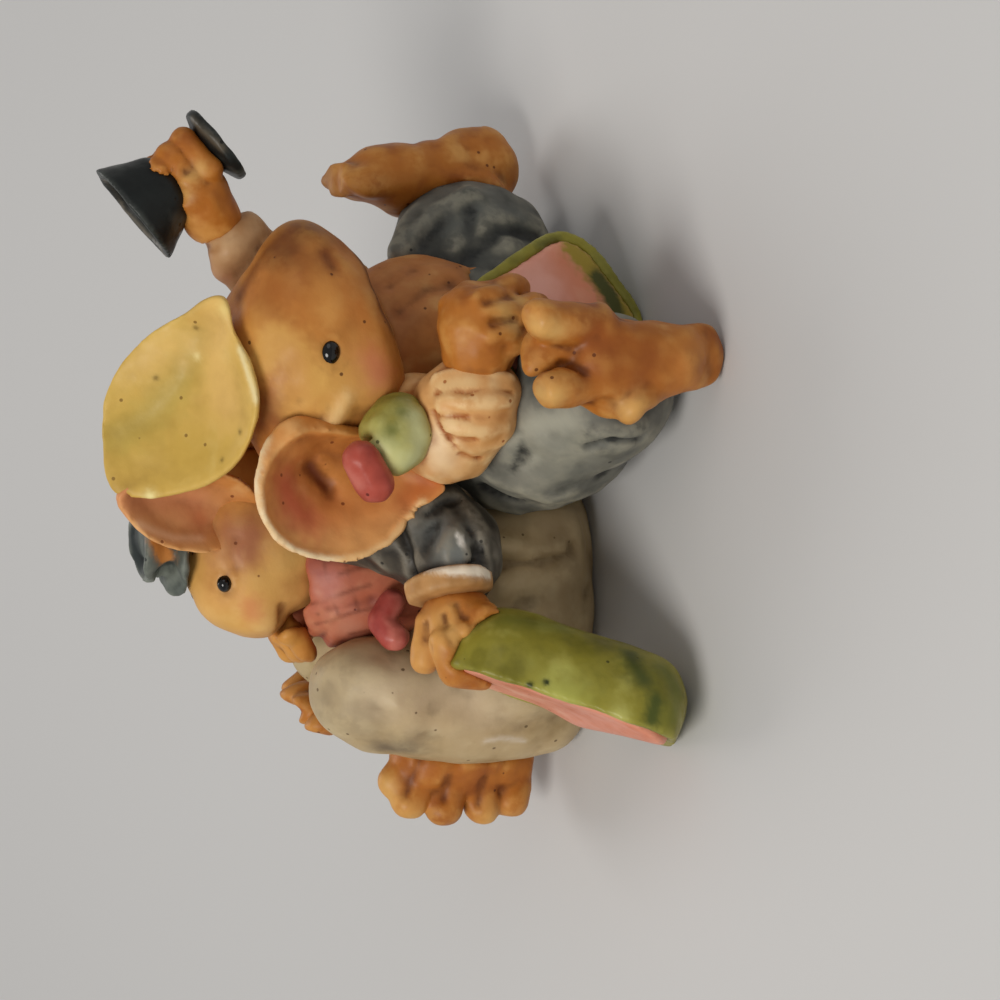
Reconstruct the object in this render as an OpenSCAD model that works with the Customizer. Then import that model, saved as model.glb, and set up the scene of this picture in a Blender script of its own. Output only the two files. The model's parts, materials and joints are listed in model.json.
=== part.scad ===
// Two cast mice that sit back to back, each with a slice of melon.
// Millimetres, +Z up, the table at z = 0 and the viewer at -Y.

/* [Front trousers] */
// Seat of the trousers, side to side
front_seat_w = 23; // [20:0.5:26]
// Seat of the trousers, front to back
front_seat_d = 21; // [18:0.5:24]
// Height of the waist above the table
front_waist_h = 17; // [15:0.5:20]
// Thickness of each leg at the knee
front_leg_d = 19; // [16:0.5:21]
// Thickness of each leg at its hem
front_hem_d = 14; // [11:0.5:16]
// Thickness of the rolls of cloth
front_fold_d = 3.2; // [2:0.2:4.4]

/* [Front shirt and arms] */
// Chest, side to side
front_chest_w = 19; // [16:0.5:22]
// Chest, front to back
front_chest_d = 17; // [14:0.5:20]
// Height of the neck above the table
front_neck_h = 28; // [26:0.5:31]
// Thickness of the pleated near sleeve
front_sleeve_d = 10.8; // [9:0.2:12.4]
// Depth of the pleats as a part of the sleeve
pleat_depth = 0.13; // [0.06:0.01:0.18]
// Number of pleats round the near sleeve
pleat_count = 4; // [3:1:6]
// Thickness of the raised sleeve at its cuff
raised_sleeve_d = 7.4; // [6:0.2:9]
// Thickness of a fist across the knuckles
front_fist_d = 8; // [6.6:0.2:9.4]
// Thickness of a finger
finger_d = 3; // [2.2:0.1:3.8]

/* [Front head] */
// Length from the back of the head to the nose
front_head_l = 24.5; // [22:0.5:27]
// Width of the head across the cheeks
front_head_w = 17; // [15:0.5:19]
// Height of the head
front_head_h = 17; // [15:0.5:19]
// Near ear, side to side
front_ear_w = 15; // [12:0.5:17]
// Near ear, top to bottom
front_ear_h = 18; // [15:0.5:20]
// Depth of the hollow of an ear
ear_dish = 3.2; // [2:0.2:4.4]
// Thickness of an ear
ear_wall = 1.6; // [1.2:0.1:2.2]
// Diameter of an eye
eye_d = 2.3; // [1.6:0.1:3]

/* [Cap and neckerchief] */
// Cap, side to side
cap_w = 20; // [17:0.5:22]
// Cap, front to back
cap_l = 18; // [15:0.5:20]
// Depth of the hollow of the cap
cap_dish = 3; // [1.6:0.2:4]
// Thickness of the cap
cap_wall = 1.8; // [1.4:0.1:2.4]
// Depth of the crown behind the brim
crown_h = 4; // [3:0.2:5.4]
// Diameter of the neckerchief knot
knot_d = 8; // [6.4:0.2:9.6]
// Length of the rose bow
bow_l = 7; // [5.4:0.2:8.4]
// Thickness of the rose bow
bow_d = 4; // [3:0.1:4.8]

/* [Goblet] */
// Height of the goblet
goblet_h = 11.6; // [10.4:0.2:13.6]
// Diameter of its rim
goblet_rim_d = 11.6; // [9.6:0.2:13]
// Diameter of its stem
goblet_stem_d = 3; // [2.4:0.1:3.8]
// Diameter of its foot
goblet_foot_d = 8.6; // [7:0.2:10]
// Thickness of its wall
goblet_wall = 0.9; // [0.7:0.1:1.3]

/* [Melon slices] */
// Breadth of the cut face
melon_w = 16; // [14:0.5:18]
// Length of the rear slice
rear_melon_l = 24; // [21:0.5:27]
// Length of the front slice
front_melon_l = 19; // [17:0.5:21]
// Rounding of the ends
melon_round = 5; // [3.6:0.2:6]
// Thickness of the rind
rind_t = 1.2; // [0.8:0.1:1.8]

/* [Feet] */
// Height of the front mouse's near foot
near_foot_l = 22; // [19:0.5:25]
// Breadth of that foot at the ball
near_foot_w = 11.4; // [9.6:0.2:13]
// Height of the front mouse's far foot
far_foot_l = 25; // [22:0.5:28]
// Height of the rear mouse's near foot
rear_foot_l = 19; // [16:0.5:21]
// Thickness of a foot at the heel
heel_d = 7.6; // [6.4:0.2:8.8]
// Thickness of a toe
toe_d = 3.8; // [3:0.1:4.6]

/* [Rear trousers] */
// Seat of the trousers, side to side
rear_seat_w = 22; // [19:0.5:25]
// Seat of the trousers, front to back
rear_seat_d = 26; // [22:0.5:29]
// Height of the waist above the table
rear_waist_h = 20; // [17:0.5:22]
// Height of the raised knee
rear_knee_h = 31; // [28:0.5:33]
// Thickness of a shin, side to side
rear_shin_w = 13; // [11:0.5:15]
// Thickness of a leg, front to back
rear_leg_d = 18; // [15:0.5:20]
// Thickness of the rolls of cloth
rear_fold_d = 3; // [2:0.2:4]

/* [Rear shirt and arms] */
// Chest, side to side
rear_chest_w = 17; // [14:0.5:19]
// Chest, front to back
rear_chest_d = 17; // [14:0.5:20]
// Height of the neck above the table
rear_neck_h = 31; // [29:0.5:34]
// Thickness of the jacket cloth
jacket_t = 1.3; // [1:0.1:1.9]
// Thickness of the jacket sleeve
rear_sleeve_d = 11; // [9:0.2:12.4]
// Length of the pale shirt cuff
cuff_l = 1.6; // [1:0.1:2.4]
// Thickness of a fist across the knuckles
rear_fist_d = 8; // [6.6:0.2:9.4]
// Length of the tie end
tie_l = 5; // [4:0.2:6.4]

/* [Rear head and hat] */
// Length from the back of the head to the nose
rear_head_l = 18; // [16:0.5:20]
// Width of the head across the cheeks
rear_head_w = 14; // [12:0.5:16]
// Height of the head
rear_head_h = 16.5; // [15:0.5:18]
// Diameter of an eye
rear_eye_d = 2; // [1.4:0.1:2.6]
// Near ear, side to side
rear_ear_w = 9; // [7.4:0.2:10.4]
// Near ear, top to bottom
rear_ear_h = 16; // [13:0.5:18]
// Height of the hat
hat_h = 5.4; // [4.6:0.2:6.6]
// Diameter of the hat's top
hat_top_d = 7.6; // [6.4:0.2:8.8]
// Diameter of the hat at its band
hat_band_d = 6; // [5:0.2:7]
// Diameter of the brim
hat_brim_d = 10; // [8.6:0.2:11.4]
// Thickness of the brim
hat_brim_t = 1; // [0.8:0.1:1.5]

/* [Hidden] */
// Room left round a glued bead or a gripped piece
glue = 0.06;
// Moves the figurine so that its box is centred over the origin
centre = [0.31, -3.83, 0];

// Where each mouse sits
front_at = [11, 7, 0];
rear_at = [-9, 13, 0];
front_neck = front_at + [1.5, -3, front_neck_h];
rear_neck = rear_at + [-1, 3, rear_neck_h];
front_head_at = front_neck + [0.6, -3, 6.2];
rear_head_at = rear_neck + [2.4, -0.6, 2.8];

// Limb ends
near_hem = front_at + [-1.6, -24.6, front_hem_d / 2 + 1];
far_hem = front_at + [16.8, 6.5, front_hem_d / 2 + 2];
near_fist = front_at + [3, -20, 20.6];
raised_fist = front_neck + [16.6, 6, 16];
chin_fist = rear_neck + [-6.4, 0.5, -1.8];

// Slices of melon: lower end, run and the way that the cut face looks
front_melon_run = [-0.49, -0.21, 0.85];
front_melon_look = [0.34, -0.94, -0.03];
rear_melon_run = [0.31, 0.49, 0.82];
rear_melon_look = [-0.93, 0.01, 0.34];
front_melon_at = front_at + [9.4, -14.4, -melon_low(front_melon_l, front_melon_run, front_melon_look)];
rear_melon_at = rear_at + [-18.4, -32.4, -melon_low(rear_melon_l, rear_melon_run, rear_melon_look)];
rear_melon_top = rear_melon_at + rear_melon_l * unit(rear_melon_run);

// The hand on the upper end of the rear slice
rear_fist = rear_melon_top + melon_w * [0.274, -0.057, -0.051];

// Outlines of the ears and the cap, as parts of their half sizes every 30 degrees
ear_shape = [1, 1.02, 1.02, 1, 1.02, 1.02, 1, 1, 1, 1.02, 0.9, 0.92];
leaf_shape = [1, 0.98, 0.96, 1.06, 0.96, 0.98, 1, 1, 0.98, 1, 0.98, 1];
cap_shape = [0.9, 0.78, 0.8, 0.97, 1.14, 1.24, 0.96, 0.92, 0.98, 0.98, 0.98, 1.16];

// Goblet: foot and run
goblet_run = [-0.65, 0.25, 0.72];
goblet_at = raised_fist + [4.8, -1.6, -3.4];

// Points along smooth curves
function unit(v) = v / norm(v);
function curve(a, b, c, d, t) =
    0.5 * (2 * b + (c - a) * t + (2 * a - 5 * b + 4 * c - d) * t * t
        + (3 * b - a - 3 * c + d) * t * t * t);
function filled(s, n) = [
    for (i = [0 : len(s) - 2], k = [0 : n - 1])
        curve(s[max(i - 1, 0)], s[i], s[i + 1], s[min(i + 2, len(s) - 1)], k / n),
    s[len(s) - 1]
];
function looped(r, n) = [
    for (i = [0 : len(r) - 1], k = [0 : n - 1])
        let (m = len(r))
        curve(r[(i + m - 1) % m], r[i], r[(i + 1) % m], r[(i + 2) % m], k / n)
];
function spot(s) = [s.x, s.y, s.z];
function along(s, i) = unit(spot(s[min(i + 1, len(s) - 1)]) - spot(s[max(i - 1, 0)]));
function station(p, w, h) = concat(p, [w, h]);

// Rings of a casting: centre, direction, half width and half height
function end_ring(s, i, way, a, dome) =
    let (t = along(s, i), r = dome * min(s[i][3], s[i][4]))
    [spot(s[i]) + way * r * sin(a) * t, t, s[i][3] * cos(a), s[i][4] * cos(a)];
function rings(s, dome) = concat(
    [end_ring(s, 0, -1, 48, dome)],
    [for (i = [0 : len(s) - 1]) [spot(s[i]), along(s, i), s[i][3], s[i][4]]],
    [end_ring(s, len(s) - 1, 1, 48, dome)]
);
function ring_points(r, up, sides) =
    let (side = unit(cross(up, r[1])), rise = cross(r[1], side))
    [for (j = [0 : sides - 1])
        r[0] + r[2] * cos(360 * j / sides) * side + r[3] * sin(360 * j / sides) * rise];

// A casting through stations [x, y, z, half width, half height]
module casting(s, up = [0, 0, 1], sides = 12, dome = 0.9) {
    all = rings(s, dome);
    n = len(all);
    last = len(s) - 1;
    first_pole = end_ring(s, 0, -1, 90, dome)[0];
    last_pole = end_ring(s, last, 1, 90, dome)[0];
    points = concat(
        [for (r = all) each ring_points(r, up, sides)],
        [first_pole, last_pole]
    );
    faces = concat(
        [for (i = [0 : n - 2], j = [0 : sides - 1])
            let (a = i * sides + j, b = i * sides + (j + 1) % sides)
            each [[a, a + sides, b], [b, a + sides, b + sides]]],
        [for (j = [0 : sides - 1]) [n * sides, j, (j + 1) % sides]],
        [for (j = [0 : sides - 1])
            [n * sides + 1, (n - 1) * sides + (j + 1) % sides, (n - 1) * sides + j]]
    );
    polyhedron(points, faces);
}

// A thin dished shell with its hollow toward -Y: half sizes a and b, outline from radii near 1,
// rings at the given parts of its size
module dish(shape, a, b, depth, wall, bend, steps) {
    edge = looped(shape, 2);
    sides = len(edge);
    deep = [for (t = steps, j = [0 : sides - 1])
        let (r = t * edge[j], g = 360 * j / sides)
        [a * r * cos(g), depth * (1 - t * t) + bend * pow(t * cos(g), 2), b * r * sin(g)]];
    back = [for (t = steps, j = [0 : sides - 1])
        let (p = deep[search(t, steps)[0] * sides + j])
        [p.x * (1 + 0.02 * t), p.y + wall * (1 - 0.4 * t * t), p.z * (1 + 0.02 * t)]];
    n = len(steps);
    m = n * sides;
    points = concat(deep, back, [[0, depth, 0], [0, depth + wall, 0]]);
    faces = concat(
        [for (i = [0 : n - 2], j = [0 : sides - 1])
            let (p = i * sides + j, q = i * sides + (j + 1) % sides)
            each [[p, q, p + sides], [q, q + sides, p + sides],
                [m + p, m + p + sides, m + q], [m + q, m + p + sides, m + q + sides]]],
        [for (j = [0 : sides - 1])
            let (k = (j + 1) % sides, e = (n - 1) * sides)
            each [[2 * m, k, j], [2 * m + 1, m + j, m + k],
                [e + j, e + k, m + e + j], [e + k, m + e + k, m + e + j]]]
    );
    polyhedron(points, faces);
}

// Stands children at a point with local +Z along run and local +Y along back
module aimed(at, run, back) {
    z = unit(run);
    x = unit(cross(back, z));
    y = cross(z, x);
    multmatrix([
        [x.x, y.x, z.x, at.x],
        [x.y, y.y, z.y, at.y],
        [x.z, y.z, z.z, at.z],
        [0, 0, 0, 1]
    ]) children();
}

// A rounded roll between two points
module roll(a, b, d, e) {
    hull() {
        translate(a) sphere(d = d, $fn = 7);
        translate(b) sphere(d = e, $fn = 7);
    }
}

// A finger that bends round local +Z
module finger(r, z, from, to, d) {
    step = (to - from) / 2;
    for (i = [0 : 1]) {
        a = from + i * step;
        b = a + step;
        roll([r * cos(a), r * sin(a), z], [r * cos(b), r * sin(b), z], d, d * 0.94);
    }
}

// Everything below the table
module table() {
    translate([-100, -100, -40]) cube([200, 200, 40]);
}

// Front trousers
module front_trousers_form() {
    w = front_seat_w / 2;
    d = front_seat_d / 2;
    k = front_leg_d / 2;
    c = front_hem_d / 2;
    f = front_fold_d;
    casting(filled([
        station(front_at + [0, 0, 1], w * 0.92, d * 0.92),
        station(front_at + [0.5, 0, 7], w, d),
        station(front_at + [1.5, -0.5, front_waist_h - 1], w * 0.86, d * 0.86)
    ], 1), [0, 1, 0], dome = 0.5);
    casting(filled([
        station(front_at + [-1, -1, 10], k, k),
        station(front_at + [-6.2, -9.5, 10.2], k, k),
        station(front_at + [-3.6, -17, 9.4], k * 0.9, k * 0.92),
        station(near_hem, c, c)
    ], 2), dome = 0.4);
    casting(filled([
        station(front_at + [3, 2.5, 10], k, k),
        station(front_at + [10, 4.5, 10], k * 0.98, k),
        station(far_hem, c * 0.95, c * 1.15)
    ], 2), dome = 0.5);
    roll(front_at + [-13.8, -8, 14], front_at + [-12.6, -13, 7], f, f * 0.7);
    roll(front_at + [-11, -6, 18], front_at + [-7, -12, 19], f, f * 0.7);
    roll(front_at + [-9.6, -17, 5], front_at + [-9, -20.4, 9], f, f * 0.8);
    roll(front_at + [-7, -22, 6], front_at + [-6.4, -23, 12], f, f * 0.8);
    roll(front_at + [-5, -20, 15.6], front_at + [1, -21.5, 16], f, f * 0.8);
    roll(front_at + [12, -2.6, 14], front_at + [17, 0.8, 10], f, f * 0.7);
    roll(front_at + [12, 2, 20], front_at + [17, 4, 17], f, f * 0.8);
    roll(front_at + [14, -1, 5], front_at + [17, 1.6, 5], f, f * 0.8);
}

module front_trousers() {
    color("#6d7882") difference() {
        front_trousers_form();
        rear_trousers_form();
        front_melon_room();
        table();
    }
}

// Front shirt
module front_shirt_form() {
    w = front_chest_w / 2;
    d = front_chest_d / 2;
    casting(filled([
        station(front_at + [1.5, -0.5, front_waist_h - 6], w, d),
        station(front_at + [2.5, -0.5, front_waist_h + 2], w, d),
        station(front_at + [2, -1.5, front_neck_h - 4], w * 0.86, d * 0.86),
        station(front_neck + [0, 0, 3], w * 0.5, d * 0.5)
    ], 2), [0, 1, 0]);
}

module front_shirt() {
    color("#c79a6b") difference() {
        front_shirt_form();
        front_trousers_form();
        rear_shirt_form();
        rear_jacket_form();
        rear_trousers_form();
        front_head_form();
        front_melon_room();
    }
}

// Near sleeve with round pleats
module front_near_sleeve_form() {
    r = front_sleeve_d / 2;
    plain = filled([
        station(front_at + [-4.5, -8, 24.5], r * 0.8, r * 0.8),
        station(front_at + [-7, -14, 22.4], r, r),
        station(front_at + [-4, -17.2, 21], r, r),
        station(near_fist + [-4.6, 1.6, 0.6], r * 0.86, r * 0.9)
    ], 5);
    n = len(plain) - 1;
    pleated = [for (i = [0 : n])
        let (g = 1 - pleat_depth * (0.5 + 0.5 * cos(360 * pleat_count * i / n)))
        station(spot(plain[i]), plain[i][3] * g, plain[i][4] * g)];
    casting(pleated, dome = 0.4);
}

module front_near_sleeve() {
    color("#dcb083") difference() {
        front_near_sleeve_form();
        front_shirt_form();
        front_trousers_form();
        front_head_form();
        front_melon_room();
    }
}

// Near hand over the end of the slice
module front_near_hand_form() {
    r = front_fist_d / 2;
    f = finger_d;
    casting(filled([
        station(near_fist + [-4, 1.4, 0.4], r * 0.8, r * 0.8),
        station(near_fist + [0.2, 0, 0.6], r, r * 1.12),
        station(near_fist + [2.8, 0.4, 0], r * 0.84, r * 0.94)
    ], 2));
    roll(near_fist + [1.6, -1.6, 1.6], near_fist + [4.6, 0, -2], f, f);
    roll(near_fist + [4.6, 0, -2], near_fist + [4.4, 1.6, -4.4], f, f * 0.9);
    roll(near_fist + [0.6, -2.4, -0.4], near_fist + [2.4, -1.8, -4], f, f);
    roll(near_fist + [2.4, -1.8, -4], near_fist + [2.6, 0, -5.8], f, f * 0.9);
    roll(near_fist + [-1.4, -2, -1.4], near_fist + [-0.6, -1.6, -4.4], f, f);
    roll(near_fist + [-0.6, -1.6, -4.4], near_fist + [-0.2, 0.2, -5.8], f, f * 0.9);
    roll(near_fist + [-1.6, 0.4, 2.8], near_fist + [2.6, 1.6, 3.2], f, f * 0.9);
}

module front_near_hand() {
    color("#c67f35") difference() {
        front_near_hand_form();
        front_near_sleeve_form();
        front_shirt_form();
        front_trousers_form();
        front_melon_room();
    }
}

// Raised sleeve and its cuff
module front_far_sleeve_form() {
    r = raised_sleeve_d / 2;
    casting(filled([
        station(front_neck + [4, 5, -5], r * 1.2, r * 1.2),
        station(front_neck + [8, 7.5, 2], r * 1.05, r * 1.05),
        station(raised_fist + [-7, 0.6, -7], r * 0.96, r * 0.96),
        station(raised_fist + [-4.6, 0, -4.6], r, r)
    ], 2), [0, 1, 0], dome = 0.35);
}

module front_far_sleeve() {
    color("#cbb59a") difference() {
        front_far_sleeve_form();
        front_shirt_form();
        front_head_form();
        front_trousers_form();
    }
}

// Raised hand round the goblet's stem
module front_far_hand_form() {
    r = front_fist_d / 2;
    f = finger_d * 0.9;
    s = goblet_stem_d / 2 + f / 2 + 0.1;
    casting(filled([
        station(raised_fist + [-4.4, -0.1, -4.4], r * 0.62, r * 0.62),
        station(raised_fist + [-2, -0.6, -2.3], r * 0.74, r * 0.74),
        station(raised_fist + [-0.2, -0.85, -1], r * 0.8, r * 0.84)
    ], 2), [0, 1, 0]);
    aimed(goblet_at, goblet_run, [0, 1, 0]) {
        for (i = [0 : 2]) {
            finger(s, goblet_h * 0.25 + i * f * 0.78, 248 - 11 * i, 420 - 7 * i, f);
        }
        roll([-s, 0, goblet_h * 0.3], [-s * 0.4, -s, goblet_h * 0.44], f, f * 0.9);
    }
}

module front_far_hand() {
    color("#c67f35") difference() {
        front_far_hand_form();
        front_far_sleeve_form();
        front_head_form();
        goblet_room();
    }
}

// Front head in its own frame: nose along +X, crown along +Z
module in_front_head() {
    translate(front_head_at) rotate([0, -7, -9]) children();
}

module front_head_form() {
    l = front_head_l;
    w = front_head_w / 2;
    h = front_head_h / 2;
    in_front_head() {
        casting(filled([
            station([-0.4 * l, 0, 0.02 * l], w * 0.66, h * 0.66),
            station([-0.2 * l, 0, 0], w * 0.98, h * 0.98),
            station([0.06 * l, 0, 0], w, h),
            station([0.28 * l, 0, -0.1 * h], w * 0.78, h * 0.8),
            station([0.4 * l, 0, -0.14 * h], w * 0.54, h * 0.54)
        ], 2), dome = 0.8);
        for (s = [-1, 1]) {
            roll([-0.14 * l, s * w * 0.5, -0.4 * h], [0.1 * l, s * w * 0.44, -0.42 * h], w * 1.24, w * 1.1);
            roll([-0.04 * l, s * w * 0.56, 0.34 * h], [0.12 * l, s * w * 0.46, 0.28 * h], w * 0.8, w * 0.7);
            roll([0.36 * l, s * w * 0.2, 0.1 * h], [0.42 * l, s * w * 0.24, -0.1 * h], w * 0.5, w * 0.4);
        }
        roll([-0.1 * l, 0, -0.6 * h], [0.14 * l, 0, -0.56 * h], w, w * 0.9);
        roll([0.4 * l, 0, 0.06 * h], [0.47 * l, 0, 0.1 * h], w * 0.5, w * 0.3);
    }
}

module front_head() {
    color("#c98339") difference() {
        front_head_form();
        rear_jacket_form();
        rear_shirt_form();
        for (side = [-1, 1]) front_eye_bead(side, eye_d + 3 * glue, 10);
    }
}

// An eye set a little more than half deep: side is -1 for the near one and 1 for the far one
module front_eye_bead(side, d, turns) {
    in_front_head() translate([0, side * (front_head_w / 2 - eye_d * 0.24), 0.04 * front_head_h])
        sphere(d = d, $fn = turns);
}

module front_near_eye() {
    color("#151413") front_eye_bead(-1, eye_d, 20);
}

module front_far_eye() {
    color("#151413") front_eye_bead(1, eye_d, 20);
}

// Ears of the front mouse
module front_near_ear_form() {
    a = front_ear_w / 2;
    b = front_ear_h / 2;
    in_front_head() translate([-0.5 * front_head_l - 1.8, -front_head_w * 0.56, 1])
        rotate([0, 6, -24])
        dish(ear_shape, a, b, ear_dish, ear_wall, -1.2, [0.4, 0.76, 1]);
}

module front_near_ear() {
    color("#c9823f") difference() {
        front_near_ear_form();
        front_head_form();
        front_near_sleeve_form();
        rear_near_sleeve_form();
        rear_jacket_form();
        cap_form();
    }
}

module front_far_ear_form() {
    a = front_ear_w * 0.44;
    b = front_ear_h * 0.44;
    in_front_head() translate([-0.3 * front_head_l, front_head_w * 0.5 + 3.7, 0.16 * front_head_h])
        rotate([0, 0, 150])
        dish(ear_shape, a, b, ear_dish, ear_wall, -1, [0.6, 1]);
}

module front_far_ear() {
    color("#c9823f") difference() {
        front_far_ear_form();
        front_head_form();
        cap_form();
        rear_jacket_form();
        rear_head_form();
        front_far_sleeve_form();
    }
}

// Cap: a dished brim that looks forward and up, with a low crown behind it
module cap_form() {
    in_front_head() translate([-0.17 * front_head_l, -0.04 * front_head_w, 0.5 * front_head_h + 5.4])
        rotate([-50, 0, 6]) {
        dish(cap_shape, cap_w / 2, cap_l / 2, cap_dish, cap_wall, 1.2, [0.4, 0.76, 1]);
        casting(filled([
            station([0, cap_dish + cap_wall * 0.6, -0.04 * cap_l], cap_w * 0.21, cap_l * 0.22),
            station([-0.5, cap_dish + cap_wall + crown_h * 0.6, -0.1 * cap_l], cap_w * 0.3, cap_l * 0.28),
            station([-1, cap_dish + cap_wall + crown_h, -0.18 * cap_l], cap_w * 0.2, cap_l * 0.2)
        ], 2), dome = 0.14);
    }
}

module cap() {
    color("#d6bb4e") difference() {
        cap_form();
        front_head_form();
        rear_near_ear_form();
        rear_head_form();
    }
}

// Neckerchief knot and bow under the near ear
module neckerchief_form() {
    r = knot_d / 2;
    casting(filled([
        station(front_neck + [-10, -13.4, 1.2], r * 0.84, r * 0.86),
        station(front_neck + [-9, -12.8, 0.4], r, r),
        station(front_neck + [-7.8, -11, -1], r * 0.9, r * 0.9)
    ], 1));
}

module neckerchief() {
    color("#9c9a3a") difference() {
        neckerchief_form();
        front_head_form();
        front_near_ear_form();
        front_near_sleeve_form();
        front_shirt_form();
    }
}

module bow_form() {
    u = unit([0.8, -0.1, 0.5]);
    at = front_neck + [-0.35 - 0.5 * front_head_l, -14.6, 4.4];
    roll(at - u * (bow_l - bow_d) / 2, at + u * (bow_l - bow_d) / 2, bow_d, bow_d * 0.96);
}

module bow() {
    color("#b86470") difference() {
        bow_form();
        neckerchief_form();
        front_near_ear_form();
        front_head_form();
    }
}

// Goblet, turned about its own axis
module goblet_form() {
    r = goblet_rim_d / 2;
    s = goblet_stem_d / 2;
    f = goblet_foot_d / 2;
    h = goblet_h;
    t = goblet_wall;
    aimed(goblet_at, goblet_run, [0, 1, 0]) rotate_extrude($fn = 36) polygon([
        [0, 0], [f, 0], [f, 0.8], [f * 0.6, 1.5], [s, 2.8], [s, h * 0.42],
        [r * 0.62, h * 0.6], [r, h], [r - t, h], [r * 0.62 - t, h * 0.62],
        [0, h * 0.52]
    ]);
}

// The room that the goblet takes in the hand that holds it
module goblet_room() {
    aimed(goblet_at, goblet_run, [0, 1, 0]) rotate_extrude($fn = 10) polygon([
        [0, 0], [goblet_foot_d / 2 + 4 * glue, 0], [goblet_foot_d / 2 + 4 * glue, 0.8 + glue],
        [goblet_foot_d * 0.3 + 2 * glue, 1.5 + 2 * glue], [goblet_stem_d / 2 + 2 * glue, 2.8 + glue],
        [goblet_stem_d / 2 + 2 * glue, goblet_h * 0.42 - glue], [goblet_rim_d * 0.31 + 4 * glue, goblet_h * 0.6],
        [goblet_rim_d / 2 + 6 * glue, goblet_h], [0, goblet_h]
    ]);
}

module goblet() {
    color("#3b3f42") goblet_form();
}

// Outline of half a slice along its axis: radius and height
function melon_line(l, inset, turn = 15) =
    let (w = melon_w / 2 - inset, c = melon_round - inset)
    concat(
        [[0, inset]],
        [for (a = [-90 : turn : 0]) [w - c + c * cos(a), inset + c + c * sin(a)]],
        [for (a = [0 : turn : 90]) [w - c + c * cos(a), l - inset - c + c * sin(a)]],
        [[0, l - inset]]
    );

// How far a slice reaches below its lower end when it is turned
function melon_low(l, run, look) =
    let (z = unit(run), x = unit(cross(-look, z)), y = cross(z, x),
        side = min([for (a = [0 : 5 : 180]) x.z * cos(a) + y.z * sin(a)]))
    min([for (p = melon_line(l, 0)) p.x * side + p.y * z.z]);

// Melon slices: half rounds with a rind
module melon_half(l, inset) {
    rotate_extrude(angle = 180, $fn = 40) polygon(melon_line(l, inset));
}

// The room that a slice takes in what grips it
module melon_room(l) {
    translate([0, -glue, 0]) rotate_extrude(angle = 180, $fn = 16) polygon(melon_line(l, -6 * glue, 30));
}

module melon_shell(l) {
    outside = melon_line(l, 0);
    inside = melon_line(l, rind_t);
    back = [for (i = [len(inside) - 1 : -1 : 0]) inside[i]];
    rotate_extrude(angle = 180, $fn = 40) polygon(concat(outside, back));
}

module front_melon_room() {
    aimed(front_melon_at, front_melon_run, -front_melon_look) melon_room(front_melon_l);
}

module rear_melon_room() {
    aimed(rear_melon_at, rear_melon_run, -rear_melon_look) melon_room(rear_melon_l);
}

module front_melon_rind() {
    color("#7f8a33") aimed(front_melon_at, front_melon_run, -front_melon_look) melon_shell(front_melon_l);
}

module front_melon_flesh() {
    color("#cf7f7c") aimed(front_melon_at, front_melon_run, -front_melon_look)
        melon_half(front_melon_l, rind_t);
}

module rear_melon_rind() {
    color("#7f8a33") aimed(rear_melon_at, rear_melon_run, -rear_melon_look) melon_shell(rear_melon_l);
}

module rear_melon_flesh() {
    color("#cf7f7c") aimed(rear_melon_at, rear_melon_run, -rear_melon_look)
        melon_half(rear_melon_l, rind_t);
}

// Feet: heel, ball and toes
module front_near_foot_form() {
    h = heel_d / 2;
    b = near_foot_w / 2;
    l = near_foot_l;
    t = toe_d;
    at = near_hem + [1.4, -7, 0] - [0, 0, near_hem.z];
    casting(filled([
        station(at + [0.6, -0.4, h * 0.8], h * 0.92, h),
        station(at + [0, 0.2, 0.4 * l], b * 0.8, h * 0.84),
        station(at + [-0.2, 0.6, 0.64 * l], b, h * 0.86)
    ], 2), [0, 1, 0]);
    roll(at + [-2.4, 0.4, 0.62 * l], at + [-3.2, -0.6, l - t / 2], t * 1.1, t);
    roll(at + [3, 0.4, 0.64 * l], at + [3.6, -0.6, l - t / 2 + 1], t * 1.15, t * 1.05);
    roll(at + [0.6, 1.6, 0.6 * l], at + [0.9, 2.4, 0.86 * l], t * 1.5, t * 1.2);
    roll(at + [-2.6, -0.4, 0.42 * l], at + [-5, -1.4, 0.5 * l], t, t * 0.9);
    roll(near_hem + [0, 1, 0.5], at + [0, 1.4, 0.44 * l], heel_d * 1.3, heel_d);
}

module front_near_foot() {
    color("#c67f35") difference() {
        front_near_foot_form();
        front_trousers_form();
        front_near_hand_form();
        front_melon_room();
        table();
    }
}

module front_far_foot_form() {
    h = heel_d / 2;
    l = far_foot_l;
    t = toe_d;
    at = far_hem + [4.6, 2, 0] - [0, 0, far_hem.z];
    casting(filled([
        station(at + [1.6, 0, h + 2], h, h * 0.9),
        station(at + [-0.4, 0, 0.42 * l], h * 1.2, h * 1.1),
        station(at + [0.2, 0, 0.66 * l], h * 1.05, h * 1.2),
        station(at + [-1.4, 0, 0.86 * l], h * 0.6, h * 1.1)
    ], 2), [0, 1, 0]);
    for (y = [-2.6, 0, 2.6]) {
        roll(at + [-0.8, y, 0.8 * l], at + [-1.8, y, l - t / 2], t, t * 0.9);
    }
    roll(far_hem, at + [0, 0, 0.4 * l], heel_d * 1.4, heel_d);
}

module front_far_foot() {
    color("#c67f35") difference() {
        front_far_foot_form();
        front_trousers_form();
        table();
    }
}

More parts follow.
